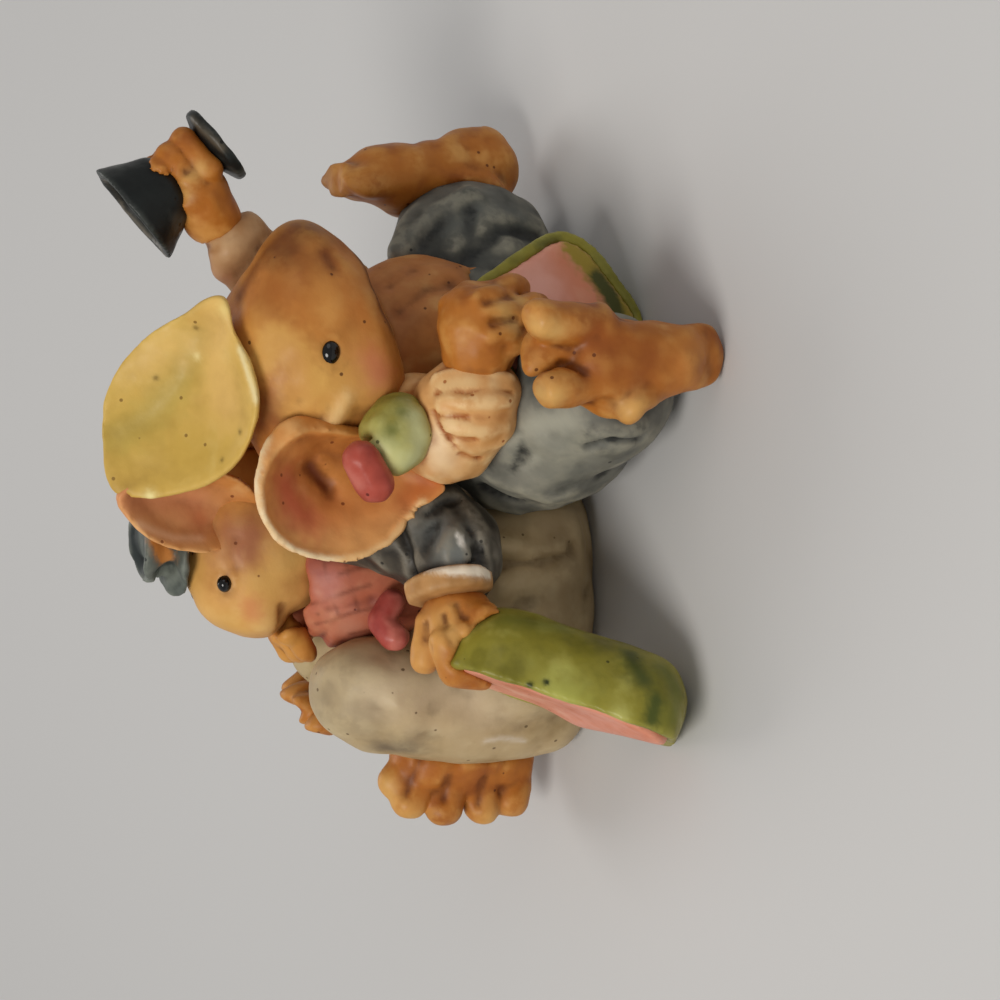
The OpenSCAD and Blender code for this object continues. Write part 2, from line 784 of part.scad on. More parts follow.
// Rear trousers: seat, then a thigh and a shin for each leg
module rear_trousers_form() {
    w = rear_seat_w / 2;
    d = rear_seat_d / 2;
    k = rear_leg_d / 2;
    n = rear_shin_w / 2;
    f = rear_fold_d;
    casting(filled([
        station(rear_at + [0, 0, 1], w * 0.94, d * 0.9),
        station(rear_at + [0, 0, 7], w, d),
        station(rear_at + [0, 1, rear_waist_h - 3], w * 0.8, d * 0.7)
    ], 1), [0, 1, 0], dome = 0.6);
    casting(filled([
        station(rear_at + [3, -6, k * 0.94], k, k),
        station(rear_at + [-6, -8, k * 1.04], k, k * 1.06),
        station(rear_at + [-13, -6.4, k * 1.04], k, k * 1.06)
    ], 2), dome = 0.5);
    casting(filled([
        station(rear_at + [-15, -4, 3], n, k * 0.9),
        station(rear_at + [-15.2, -4.6, rear_knee_h * 0.4], n * 1.06, k * 0.96),
        station(rear_at + [-14, -5, rear_knee_h - n * 0.9], n * 0.88, k * 0.74)
    ], 2), [0, 1, 0]);
    casting([
        station(rear_at + [2, 7, k * 0.94], k, k),
        station(rear_at + [-9, 11, k * 1.04], k * 0.94, k * 1.06)
    ], dome = 0.5);
    casting(filled([
        station(rear_at + [-11, 13, 3], n, k * 0.86),
        station(rear_at + [-11, 13, rear_knee_h * 0.4], n, k * 0.9),
        station(rear_at + [-9.6, 12, rear_knee_h - n * 1.7], n * 0.9, k * 0.7)
    ], 1), [0, 1, 0]);
    roll(rear_at + [4, -4.2 - k, 1.33 * k], rear_at + [4.4, -2.6 - k, 0.44 * k], f, f * 0.8);
    roll(rear_at + [1.6, -5.6 - k, 1.56 * k], rear_at + [1.4, -5 - k, 0.56 * k], f, f * 0.8);
    roll(rear_at + [-3, -6.6 - k, 1.56 * k], rear_at + [-1.4, -6.2 - k, 0.67 * k], f, f * 0.8);
    roll(rear_at + [-18, -1 - k, 0.45 * rear_knee_h], rear_at + [-19, -k, 0.19 * rear_knee_h], f, f * 0.8);
    roll(rear_at + [-13.5 - n, -7, 0.55 * rear_knee_h], rear_at + [-13.9 - n, -6, 0.26 * rear_knee_h],
        f, f * 0.8);
    roll(rear_at + [-15, -2.4 - k, 0.77 * rear_knee_h], rear_at + [-17.4, -1.4 - k, 0.58 * rear_knee_h],
        f, f * 0.8);
    roll(rear_at + [-8, -5 - k, 1.89 * k], rear_at + [-12, -4.6 - k, 1.78 * k], f, f * 0.8);
    roll(rear_at + [9.4, -2, 11], rear_at + [9, 4, 12], f, f * 0.8);
}

module rear_trousers() {
    color("#9a8f80") difference() {
        rear_trousers_form();
        rear_melon_room();
        table();
    }
}

// Rear shirt, jacket and tie
module rear_chest(extra) {
    w = rear_chest_w / 2 + extra;
    d = rear_chest_d / 2 + extra;
    casting(filled([
        station(rear_at + [0, 0, 10], w, d),
        station(rear_at + [-1.4, -0.6, 19], w, d),
        station(rear_neck + [-0.4, -3, -5], w * 0.92, d * 0.86),
        station(rear_neck + [1, -0.6, 1], w * 0.56, d * 0.56)
    ], 2), [0, 1, 0]);
}

module rear_shirt_form() {
    rear_chest(0);
}

module rear_shirt() {
    color("#b5605c") difference() {
        rear_shirt_form();
        rear_trousers_form();
        front_trousers_form();
        rear_head_form();
    }
}

module rear_jacket_form() {
    difference() {
        rear_chest(jacket_t);
        translate(rear_at + [-33, -20, 10]) rotate([0, 14, 0]) cube([30, 40, 40]);
    }
}

module rear_jacket() {
    color("#5a6167") difference() {
        rear_jacket_form();
        rear_shirt_form();
        rear_trousers_form();
        front_trousers_form();
        rear_head_form();
        table();
    }
}

module rear_tie_form() {
    at = rear_at + [-6.6, -9.8, 24.6];
    roll(at, at + [-0.3 * tie_l, -0.2 * tie_l, -0.2 * tie_l], 2.8, 3);
    roll(at + [0.2, 0, 0], at + [0.44 * tie_l, 0, -0.24 * tie_l], 2.8, 2.6);
}

module rear_tie() {
    color("#a8443f") difference() {
        rear_tie_form();
        rear_shirt_form();
        rear_jacket_form();
        rear_trousers_form();
        rear_near_hand_form();
    }
}

// Near jacket sleeve, cuff and hand
module rear_near_sleeve_form() {
    r = rear_sleeve_d / 2;
    casting(filled([
        station(rear_at + [4.6, -4, 28], r * 0.9, r * 0.9),
        station(rear_at + [4.2, -11.6, 24], r, r),
        station(rear_at + [1, -16.8, 20.2], r, r),
        station(rear_fist + [5.2, 1.8, 0.4], r * 0.74, r * 0.76)
    ], 2), dome = 0.3);
}

module rear_near_sleeve() {
    color("#5a6167") difference() {
        rear_near_sleeve_form();
        rear_jacket_form();
        rear_shirt_form();
        rear_trousers_form();
        front_trousers_form();
        front_near_sleeve_form();
        front_shirt_form();
        front_head_form();
    }
}

module rear_near_cuff_form() {
    r = rear_sleeve_d / 2;
    casting([
        station(rear_fist + [4.8, 1.7, 0.5], r * 0.78, r * 0.82),
        station(rear_fist + [4.8 - cuff_l, 1.2, 0.4], r * 0.76, r * 0.8)
    ], sides = 14, dome = 0.16);
}

module rear_near_cuff() {
    color("#c9b9a0") difference() {
        rear_near_cuff_form();
        rear_near_sleeve_form();
        rear_trousers_form();
        rear_melon_room();
    }
}

module rear_near_hand_form() {
    r = rear_fist_d / 2;
    f = finger_d;
    casting(filled([
        station(rear_fist + [2.4, 1, 0.3], r * 0.7, r * 0.76),
        station(rear_fist, r * 0.9, r),
        station(rear_fist + [-2.4, -0.8, -0.4], r * 0.7, r * 0.8)
    ], 2));
    roll(rear_fist + r * [-0.35, -0.6, 0.65], rear_fist + [-4.4, -2.2, 1.6], f * 1.1, f);
    roll(rear_fist + [-4.4, -2.2, 1.6], rear_fist + [-5, -1.8, -1.6], f, f * 0.9);
    roll(rear_fist + r * [-0.1, -0.75, 0.15], rear_fist + [-3, -3.4, -2], f, f);
    roll(rear_fist + [-3, -3.4, -2], rear_fist + [-2.8, -3, -4.6], f, f * 0.9);
    roll(rear_fist + r * [0.25, -0.75, -0.3], rear_fist + [-0.4, -3.6, -4], f, f);
    roll(rear_fist + [-0.4, -3.6, -4], rear_fist + [-0.8, -3.4, -4.2], f, f * 0.9);
    roll(rear_fist + r * [0.1, 0.15, 0.7], rear_fist + [-3.4, 0.6, 3.6], f, f * 0.9);
}

module rear_near_hand() {
    color("#c67f35") difference() {
        rear_near_hand_form();
        rear_near_cuff_form();
        rear_near_sleeve_form();
        rear_trousers_form();
        rear_shirt_form();
        rear_melon_room();
    }
}

// Far sleeve and the hand under the chin
module rear_far_sleeve_form() {
    r = rear_sleeve_d / 2;
    elbow = rear_at + [-2.6, 9.6, 23.6];
    casting([
        station(rear_at + [3, 7, 28], r * 0.9, r * 0.9),
        station(elbow, r * 0.9, r * 0.9)
    ], [0, 1, 0]);
    casting([
        station(elbow, r * 0.86, r * 0.86),
        station(chin_fist + [2.4, 3, -2.4], r * 0.6, r * 0.6)
    ], [0, 1, 0], dome = 0.4);
}

module rear_far_sleeve() {
    color("#5a6167") difference() {
        rear_far_sleeve_form();
        rear_jacket_form();
        rear_shirt_form();
        rear_trousers_form();
        rear_head_form();
    }
}

module rear_far_hand_form() {
    r = rear_fist_d / 2;
    f = finger_d * 0.86;
    casting([
        station(chin_fist + [1.6, 1.4, -1.2], r * 0.58, r * 0.56),
        station(chin_fist, r * 0.72, r * 0.66)
    ], sides = 10);
    for (y = [-2.2, -0.2, 1.8]) {
        roll(chin_fist + [-0.8, y, 0.6], chin_fist + [-3, y - 0.4, -0.6], f, f * 0.9);
    }
    roll(chin_fist + [0, -2, -0.4], chin_fist + [-1.8, -2.8, 1.4], f, f * 0.9);
}

module rear_far_hand() {
    color("#c67f35") difference() {
        rear_far_hand_form();
        rear_far_sleeve_form();
        rear_head_form();
        rear_shirt_form();
        rear_trousers_form();
    }
}

// Rear head in its own frame: nose along -X, crown along +Z
module in_rear_head() {
    translate(rear_head_at) rotate([0, -6, 10]) children();
}

module rear_head_form() {
    l = rear_head_l;
    w = rear_head_w / 2;
    h = rear_head_h / 2;
    in_rear_head() {
        casting(filled([
            station([0.38 * l, 0, 0], w * 0.66, h * 0.66),
            station([0.2 * l, 0, 0], w * 0.97, h * 0.97),
            station([-0.06 * l, 0, 0], w, h),
            station([-0.28 * l, 0, -0.02 * h], w * 0.84, h * 0.9),
            station([-0.42 * l, 0, -0.04 * h], w * 0.64, h * 0.7)
        ], 2), dome = 0.8);
        for (s = [-1, 1]) {
            roll([0.1 * l, s * w * 0.46, -0.4 * h], [-0.12 * l, s * w * 0.42, -0.44 * h], w * 1.24, w * 1.1);
            roll([0, s * w * 0.6, 0.4 * h], [-0.16 * l, s * w * 0.46, 0.3 * h], w * 0.7, w * 0.6);
            roll([-0.38 * l, s * w * 0.2, 0.1 * h], [-0.42 * l, s * w * 0.24, -0.1 * h], w * 0.5, w * 0.4);
        }
        roll([0.1 * l, 0, -0.72 * h], [-0.18 * l, 0, -0.8 * h], w * 0.9, w * 0.7);
        roll([-0.42 * l, 0, 0.06 * h], [-0.47 * l, 0, 0.1 * h], w * 0.5, w * 0.3);
    }
}

module rear_head() {
    color("#cf9240") difference() {
        rear_head_form();
        front_head_form();
        rear_near_sleeve_form();
        rear_trousers_form();
        hat_form(2 * glue, 16);
        for (side = [-1, 1]) rear_eye_bead(side, rear_eye_d + 3 * glue, 10);
    }
}

module rear_eye_bead(side, d, turns) {
    in_rear_head() translate([-0.23 * rear_head_l, side * 0.285 * rear_head_w, 0.35 * rear_head_h])
        sphere(d = d, $fn = turns);
}

module rear_near_eye() {
    color("#151413") rear_eye_bead(-1, rear_eye_d, 20);
}

module rear_far_eye() {
    color("#151413") rear_eye_bead(1, rear_eye_d, 20);
}

// Ears of the rear mouse
module rear_near_ear_form() {
    a = rear_ear_w / 2;
    b = rear_ear_h / 2;
    in_rear_head() translate([0.2 * rear_head_l, -0.5 * rear_head_w, 0.5 * rear_head_h + 0.8])
        rotate([0, 14, -30])
        dish(leaf_shape, a, b, ear_dish * 0.7, ear_wall, -1, [0.6, 1]);
}

module rear_near_ear() {
    color("#c9823f") difference() {
        rear_near_ear_form();
        rear_head_form();
        front_head_form();
        hat_form(2 * glue, 16);
    }
}

module rear_far_ear_form() {
    a = rear_ear_w / 2;
    b = rear_ear_h / 2;
    in_rear_head() translate([0.26 * rear_head_l, 0.5 * rear_head_w + 2.4, 0.22 * rear_head_h])
        rotate([-56, 0, 168])
        dish(leaf_shape, a, b, ear_dish * 0.7, ear_wall, -1, [0.6, 1]);
}

module rear_far_ear() {
    color("#c9823f") difference() {
        rear_far_ear_form();
        rear_head_form();
        front_head_form();
        hat_form(2 * glue, 16);
    }
}

// Hat, turned about its own axis
module in_hat() {
    in_rear_head() translate([0, 0.06 * rear_head_w, 0.5 * rear_head_h - 1.4]) rotate([0, 12, 0])
        children();
}

module hat_form(gap, turns) {
    r = hat_top_d / 2 + gap;
    m = hat_band_d / 2 + gap;
    e = hat_brim_d / 2 + gap;
    t = hat_brim_t;
    in_hat() rotate_extrude($fn = turns) polygon([
        [0, 1], [e, 1], [e, 1 + t], [m, 1 + t + 0.4], [m + (r - m) * 0.4, 1 + hat_h * 0.6],
        [r, 1 + hat_h - 0.8], [r, 1 + hat_h], [r - 0.9, 1 + hat_h], [r - 1.4, 0.6 + hat_h],
        [0, 0.6 + hat_h]
    ]);
}

module hat() {
    color("#6d7b84") hat_form(0, 36);
}

// Feet of the rear mouse, soles to the side
module rear_near_foot_form() {
    h = heel_d / 2;
    l = rear_foot_l;
    t = toe_d;
    at = rear_at + [-22, -0.4, 1.4];
    casting(filled([
        station(at + [-0.4, -0.4, h + 0.8], h, h),
        station(at + [0.6, 0, 0.5 * l], h * 1.15, h * 1.15),
        station(at + [0, 0, 0.74 * l], h, h * 1.1)
    ], 2), [0, 1, 0]);
    roll(at + [-1, -0.8, h], at + [-4.6, -1.6, h + 0.4], t * 1.2, t * 1.1);
    roll(at + [-1, -0.8, 0.42 * l], at + [-5.4, -1.6, 0.4 * l], t * 1.1, t);
    roll(at + [-1, -0.8, 0.6 * l], at + [-5.4, -1.4, 0.64 * l], t * 1.1, t);
    roll(at + [-0.8, 0, 0.74 * l], at + [-4.4, -0.6, 0.84 * l], t * 1.1, t);
    roll(at + [0.4, 0.4, 0.76 * l], at + [-2.2, 0.4, l - t / 2], t * 1.1, t);
    roll(rear_at + [-16, -2.4, 9], at + [0, 0, 9.4], heel_d * 1.5, heel_d * 1.3);
}

module rear_near_foot() {
    color("#c67f35") difference() {
        rear_near_foot_form();
        rear_trousers_form();
        table();
    }
}

module rear_far_foot_form() {
    h = heel_d / 2;
    l = rear_foot_l + 5.6;
    t = toe_d;
    at = rear_at + [-17.2, 17.4, 0];
    casting(filled([
        station(at + [0, 0, h + 0.6], h * 0.86, h * 0.86),
        station(at + [0.4, 0, 0.5 * l], h * 0.9, h * 1.2),
        station(at + [0.6, 0.6, 0.7 * l], h * 0.8, h * 1.3)
    ], 2), [0, 1, 0]);
    for (i = [0 : 3]) {
        roll(at + [0.4, (i - 1.5) * 2.6, 0.66 * l],
            at + [-1.6 + 1.4 * i, (i - 1.5) * 3, l - t / 2 - abs(i - 1.2)], t, t * 0.9);
    }
    roll(rear_at + [-12, 14, 8], at + [0.6, -0.6, 9], heel_d * 1.3, heel_d);
}

module rear_far_foot() {
    color("#c67f35") difference() {
        rear_far_foot_form();
        rear_trousers_form();
        table();
    }
}

translate(centre) {
    front_trousers();
    front_shirt();
    front_near_sleeve();
    front_near_hand();
    front_far_sleeve();
    front_far_hand();
    front_head();
    front_near_ear();
    front_far_ear();
    front_near_eye();
    front_far_eye();
    cap();
    neckerchief();
    bow();
    goblet();
    front_near_foot();
    front_far_foot();
    front_melon_rind();
    front_melon_flesh();
    rear_trousers();
    rear_shirt();
    rear_jacket();
    rear_tie();
    rear_near_sleeve();
    rear_near_cuff();
    rear_near_hand();
    rear_far_sleeve();
    rear_far_hand();
    rear_head();
    rear_near_ear();
    rear_far_ear();
    rear_near_eye();
    rear_far_eye();
    hat();
    rear_near_foot();
    rear_far_foot();
    rear_melon_rind();
    rear_melon_flesh();
}
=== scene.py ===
# %% [markdown]
# Two painted mice, a lesson in digital clay.
# The real object is a small casting, painted by hand and varnished: two mice in clothes sit back to back.
# A frame of plain solids gives every piece its true place and size. Each lesson takes a piece of that
# frame, makes it soft and hand modelled, and then paints it the way the real one is painted.

# %% Load the frame
import json
import math

import bmesh
import bpy
import numpy as np
from mathutils import Matrix, Vector, noise
from mathutils.bvhtree import BVHTree


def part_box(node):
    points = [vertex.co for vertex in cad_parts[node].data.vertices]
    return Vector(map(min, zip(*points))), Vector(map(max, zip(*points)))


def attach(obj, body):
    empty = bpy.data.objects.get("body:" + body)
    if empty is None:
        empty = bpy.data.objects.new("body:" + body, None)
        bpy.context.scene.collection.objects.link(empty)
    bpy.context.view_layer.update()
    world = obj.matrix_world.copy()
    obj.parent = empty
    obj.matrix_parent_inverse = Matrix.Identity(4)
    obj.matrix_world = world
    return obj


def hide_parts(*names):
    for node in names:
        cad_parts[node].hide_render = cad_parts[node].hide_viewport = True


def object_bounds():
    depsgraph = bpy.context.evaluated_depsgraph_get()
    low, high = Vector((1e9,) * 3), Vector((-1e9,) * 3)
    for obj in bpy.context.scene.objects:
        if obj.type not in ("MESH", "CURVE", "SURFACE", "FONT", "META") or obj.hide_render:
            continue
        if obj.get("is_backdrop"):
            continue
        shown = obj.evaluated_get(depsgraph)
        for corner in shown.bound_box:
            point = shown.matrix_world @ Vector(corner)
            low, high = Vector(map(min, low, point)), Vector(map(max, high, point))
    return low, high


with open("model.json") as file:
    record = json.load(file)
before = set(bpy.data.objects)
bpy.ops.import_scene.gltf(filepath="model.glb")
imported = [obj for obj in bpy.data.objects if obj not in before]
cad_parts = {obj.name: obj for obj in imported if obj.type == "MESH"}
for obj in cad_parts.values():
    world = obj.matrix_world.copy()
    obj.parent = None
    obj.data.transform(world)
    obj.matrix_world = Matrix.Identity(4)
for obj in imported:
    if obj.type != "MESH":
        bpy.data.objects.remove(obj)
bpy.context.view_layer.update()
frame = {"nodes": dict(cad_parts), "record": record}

MM = 0.001

# %% [markdown]
# The camera comes first, because the photograph helps to place small things later on.
# It looks down on the mice by 27 degrees from about 30 cm away, and it lies on its side,
# so the picture is turned by a quarter turn. Pixels in this file are those of the picture set upright.

# %% Camera
VIEW_RISE = math.radians(27)
VIEW_AIM = Vector((-2.59, 0.17, 10.4))
VIEW_FAR = 300
LENS = 101.5
SENSOR = 36
NEAREST = 0.01
PICTURE = 1000

view_back = Vector((0, -math.cos(VIEW_RISE), math.sin(VIEW_RISE)))
view_right = Vector((1, 0, 0))
view_up = view_back.cross(view_right)
view_point = VIEW_AIM + VIEW_FAR * view_back

camera_data = bpy.data.cameras.new("studio_camera")
camera_data.lens = LENS
camera_data.sensor_width = SENSOR
camera_data.clip_start = NEAREST
camera = bpy.data.objects.new("studio_camera", camera_data)
bpy.context.scene.collection.objects.link(camera)
on_its_side = Matrix((-view_up, view_right, view_back)).transposed().to_4x4()
camera.matrix_world = Matrix.Translation(view_point * MM) @ on_its_side
bpy.context.scene.camera = camera
print("camera stands at mm:", [round(v, 1) for v in view_point])

# %% [markdown]
# The figure stands on a pale table top. A modelled table would add nothing, so one wide face is enough,
# and a matt paint keeps the shadow soft.

# %% Table
TABLE_SIZE = 4.0
TABLE_COLOUR = (0.56, 0.555, 0.55, 1)
TABLE_ROUGHNESS = 0.6


def new_piece(name, bm):
    """An object made of a bmesh, which is then given up."""
    mesh = bpy.data.meshes.new(name)
    bm.to_mesh(mesh)
    bm.free()
    piece = bpy.data.objects.new(name, mesh)
    bpy.context.scene.collection.objects.link(piece)
    return piece


bm = bmesh.new()
bmesh.ops.create_grid(bm, x_segments=1, y_segments=1, size=TABLE_SIZE / 2)
table_top = new_piece("table_top", bm)
table_paint = bpy.data.materials.new("table_paint")
table_paint.use_nodes = True
table_shader = table_paint.node_tree.nodes["Principled BSDF"]
table_shader.inputs["Base Color"].default_value = TABLE_COLOUR
table_shader.inputs["Roughness"].default_value = TABLE_ROUGHNESS
table_top.data.materials.append(table_paint)
table_top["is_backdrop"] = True
print("table width in m:", TABLE_SIZE)

# %% [markdown]
# Soft light keeps the paint honest. One large lamp from the upper left models the forms, a second fills
# the right side, a third lights the backs, and the world lifts the shadows.

# %% Lamps
WORLD_COLOUR = (1.0, 0.99, 0.98, 1)
WORLD_LEVEL = 0.36
LAMPS = {
    "key_lamp": ((-0.28, -0.34, 0.52), 0.30, 2.5, (1.0, 0.97, 0.92)),
    "fill_lamp": ((0.42, -0.38, 0.30), 0.40, 0.35, (0.97, 0.98, 1.0)),
    "back_lamp": ((0.05, 0.50, 0.45), 0.36, 0.9, (1.0, 0.98, 0.95)),
}

world = bpy.data.worlds.new("studio")
world.use_nodes = True
world.node_tree.nodes["Background"].inputs["Color"].default_value = WORLD_COLOUR
world.node_tree.nodes["Background"].inputs["Strength"].default_value = WORLD_LEVEL
bpy.context.scene.world = world
bpy.context.scene.view_settings.view_transform = "Standard"

for name, (place, size, power, tint) in LAMPS.items():
    lamp_data = bpy.data.lights.new(name, "AREA")
    lamp_data.shape = "DISK"
    lamp_data.size = size
    lamp_data.energy = power
    lamp_data.color = tint
    lamp = bpy.data.objects.new(name, lamp_data)
    lamp.location = place
    lamp.rotation_euler = (VIEW_AIM * MM - Vector(place)).to_track_quat("-Z", "Y").to_euler()
    bpy.context.scene.collection.objects.link(lamp)
print("lamps:", ", ".join(LAMPS))

# %% [markdown]
# Sculptors model such a figure in wax before it is cast. Here the wax is a copy of a plain solid:
# its doubles are merged, a voxel remesh makes it one even skin, and rounds of smoothing take the facets
# away. A small swell gives back what smoothing shrinks.
# All clay work is in millimetres, and a piece returns to metres when it is set down.

# %% Clay tools
DOUBLES = 0.001
THUMB = 0.5


def points(piece):
    """Vertices of a piece as rows of x, y, z."""
    co = np.empty(len(piece.data.vertices) * 3, np.float32)
    piece.data.vertices.foreach_get("co", co)
    return co.reshape(-1, 3).astype(float)


def outward(piece):
    """Vertex normals of a piece."""
    normals = np.empty(len(piece.data.vertices) * 3, np.float32)
    piece.data.vertex_normals.foreach_get("vector", normals)
    return normals.reshape(-1, 3).astype(float)


def reshape(piece, co):
    """Moves the vertices of a piece, but never below the table."""
    co[:, 2] = np.maximum(co[:, 2], 0)
    piece.data.vertices.foreach_set("co", co.astype(np.float32).ravel())
    piece.data.update()


def even_skin(piece, grain):
    """One closed skin of even faces about a grain across."""
    remesh = piece.modifiers.new("even_skin", "REMESH")
    remesh.mode = "VOXEL"
    remesh.voxel_size = grain
    graph = bpy.context.evaluated_depsgraph_get()
    skin = bpy.data.meshes.new_from_object(piece.evaluated_get(graph))
    piece.modifiers.clear()
    old = piece.data
    piece.data = skin
    bpy.data.meshes.remove(old)


def rub_smooth(piece, rounds, spots=None):
    """Rounds of thumb work that take the facets off a piece, or off some of its vertices."""
    bm = bmesh.new()
    bm.from_mesh(piece.data)
    bm.verts.ensure_lookup_table()
    verts = bm.verts if spots is None else [bm.verts[i] for i in spots]
    axes = {"use_axis_x": True, "use_axis_y": True, "use_axis_z": True}
    for _ in range(rounds):
        bmesh.ops.smooth_vert(bm, verts=verts, factor=THUMB, **axes)
    bm.to_mesh(piece.data)
    bm.free()
    piece.data.update()


def clay(name, node, grain, rounds, amount):
    """A clay copy of a frame node, swollen all round by an amount."""
    bm = bmesh.new()
    bm.from_mesh(frame["nodes"][node].data)
    bmesh.ops.remove_doubles(bm, verts=bm.verts, dist=DOUBLES * MM)
    bmesh.ops.scale(bm, vec=(1 / MM, 1 / MM, 1 / MM), verts=bm.verts)
    piece = new_piece(name, bm)
    even_skin(piece, grain)
    rub_smooth(piece, rounds)
    reshape(piece, points(piece) + amount * outward(piece))
    piece["stands_for"] = node
    return piece


print("doubles merge within mm:", DOUBLES)

# %% [markdown]
# The figure has 34 modelled pieces. Cloth and heads are big and round, so they get a coarse grain
# and long smoothing. Paws and feet have fingers three millimetres thick, which long smoothing would melt.
# The goblet and the hat were turned round an axis, and the frame already has their true profiles,
# so they only lose their sharp corners. Each row gives node, grain, rounds and swell.

# %% First clay of every modelled piece
CLAY = {
    "slate_trousers": ("front_trousers", 0.5, 30, 0.4),
    "tan_shirt": ("front_shirt", 0.45, 20, 0.4),
    "pleated_sleeve": ("front_near_sleeve", 0.32, 14, 0.35),
    "near_paw": ("front_near_hand", 0.26, 10, 0.1),
    "raised_sleeve": ("front_far_sleeve", 0.4, 16, 0.3),
    "goblet_paw": ("front_far_hand", 0.25, 12, 0.3),
    "brown_head": ("front_head", 0.42, 40, 0.5),
    "near_ear": ("front_near_ear", 0.25, 8, 0.05),
    "far_ear": ("front_far_ear", 0.35, 8, 0.15),
    "yellow_cap": ("cap", 0.26, 16, 0.0),
    "green_knot": ("neckerchief", 0.3, 16, 0.15),
    "rose_bow": ("bow", 0.22, 14, 0.15),
    "near_foot": ("front_near_foot", 0.35, 12, 0.3),
    "far_foot": ("front_far_foot", 0.4, 14, 0.3),
    "front_rind": ("front_melon_rind", 0.3, 5, 0.06),
    "front_flesh": ("front_melon_flesh", 0.35, 5, 0.06),
    "beige_trousers": ("rear_trousers", 0.5, 30, 0.4),
    "plaid_shirt": ("rear_shirt", 0.28, 24, 0.3),
    "grey_jacket": ("rear_jacket", 0.35, 8, 0.3),
    "red_tie": ("rear_tie", 0.22, 6, 0.2),
    "jacket_sleeve": ("rear_near_sleeve", 0.4, 20, 0.4),
    "pale_cuff": ("rear_near_cuff", 0.25, 6, 0.2),
    "slice_paw": ("rear_near_hand", 0.28, 8, 0.3),
    "far_jacket_sleeve": ("rear_far_sleeve", 0.45, 12, 0.3),
    "chin_paw": ("rear_far_hand", 0.28, 7, 0.25),
    "yellow_head": ("rear_head", 0.4, 30, 0.45),
    "standing_ear": ("rear_near_ear", 0.25, 8, 0.05),
    "hanging_ear": ("rear_far_ear", 0.35, 8, 0.15),
    "side_foot": ("rear_near_foot", 0.35, 10, 0.3),
    "back_foot": ("rear_far_foot", 0.4, 12, 0.3),
    "rear_rind": ("rear_melon_rind", 0.3, 5, 0.06),
    "rear_flesh": ("rear_melon_flesh", 0.35, 5, 0.06),
    "goblet_cup": ("goblet", 0.2, 5, 0.08),
    "slate_hat": ("hat", 0.22, 5, 0.08),
}
PIECES = {name: clay(name, *row) for name, row in CLAY.items()}
print(len(PIECES), "clay pieces,", sum(len(p.data.polygons) for p in PIECES.values()), "faces")

# %% [markdown]
# The eyes are beads of black glaze. A painted dot wouldn't catch the light, so each is a ball where the
# frame has it. The near ones are spread along the face and show as almonds, the far ones are smaller.

# %% Eyes
EYE_SPREADS = {
    "front_near_eye": (1.2, 0.95, 1.0),
    "front_far_eye": (0.8, 0.8, 0.8),
    "rear_near_eye": (0.95, 0.82, 1.0),
    "rear_far_eye": (0.8, 0.8, 0.8),
}
EYE_MERIDIANS = 32
EYE_RINGS = 20
BALL_DIAGONAL = math.sqrt(12)

view_axes = Matrix((view_right, view_up, view_back)).transposed().to_4x4()
for node, spread in EYE_SPREADS.items():
    low, high = [Vector(corner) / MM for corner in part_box(node)]
    radius = (high - low).length / BALL_DIAGONAL
    almond = view_axes @ Matrix.Diagonal((*spread, 1)) @ view_axes.transposed()
    place = Matrix.Translation((low + high) / 2) @ almond
    bm = bmesh.new()
    bmesh.ops.create_uvsphere(
        bm, u_segments=EYE_MERIDIANS, v_segments=EYE_RINGS, radius=radius, matrix=place)
    bead = new_piece("bead_" + node, bm)
    bead["stands_for"] = node
    PIECES[bead.name] = bead
    print(bead.name, "radius mm", round(radius, 2))

# %% [markdown]
# A spot on a piece is easiest to name by its pixel in the photograph. The camera's sight line through that
# pixel is followed until it meets the piece, so a mark lands where the eye sees it and sits on the skin.

# %% Sight lines
CAP_BOWL = (600, 185)
SHORTEST = 1e-9
BACK, RIGHT, UP = [np.array(axis) for axis in (view_back, view_right, view_up)]


def sight(pixel):
    """The way the camera looks at a pixel of the upright picture."""
    u, v = pixel
    across = (u - PICTURE / 2) / PICTURE * SENSOR / LENS
    up = (PICTURE / 2 - v) / PICTURE * SENSOR / LENS
    return (view_right * across + view_up * up - view_back).normalized()


def tree_of(piece):
    """A search tree of a piece's faces."""
    return BVHTree.FromObject(piece, bpy.context.evaluated_depsgraph_get())


def traced(piece, pixels):
    """Where the sight lines of some picture pixels meet a piece."""
    tree = tree_of(piece)
    hits = [tree.ray_cast(view_point, sight(p))[0] for p in pixels]
    return [np.array(h) for h in hits if h is not None]


def reach(co, line):
    """Distance of each vertex from a line of points."""
    if len(line) == 1:
        return np.linalg.norm(co - line[0], axis=1)
    best = np.full(len(co), np.inf)
    for a, b in zip(line[:-1], line[1:]):
        run = b - a
        t = np.clip((co - a) @ run / max(run @ run, SHORTEST), 0, 1)
        best = np.minimum(best, np.linalg.norm(co - a - t[:, None] * run, axis=1))
    return best


def near_to(name, pixels, width):
    """A piece, its vertices, and how many widths each of them lies from some pixels."""
    piece = PIECES[name]
    co = points(piece)
    return piece, co, reach(co, traced(piece, pixels)) / width


print("the cap's bowl lies at mm:", traced(PIECES["yellow_cap"], [CAP_BOWL])[0].round(1))

# %% [markdown]
# Cloth is modelled with the edge of a tool: a crease is a groove, a fold is a ridge beside it.
# The strokes follow those of the photograph. Each has a width and a depth in millimetres and then its
# pixels, and a depth below nought raises a ridge.

# %% Folds in the cloth
EDGE_PRESS = 0.3
FACING_GAIN = 2
KNOT_RUB = 14


def press(name, width, depth, *pixels):
    """Presses a soft groove into the seen side of a piece, or raises a ridge."""
    piece, co, far = near_to(name, pixels, width)
    normals = outward(piece)
    seen = np.clip(EDGE_PRESS + FACING_GAIN * (normals @ BACK), 0, 1)
    amount = -depth * seen * np.exp(-(far ** 2))
    reshape(piece, co + normals * amount[:, None])


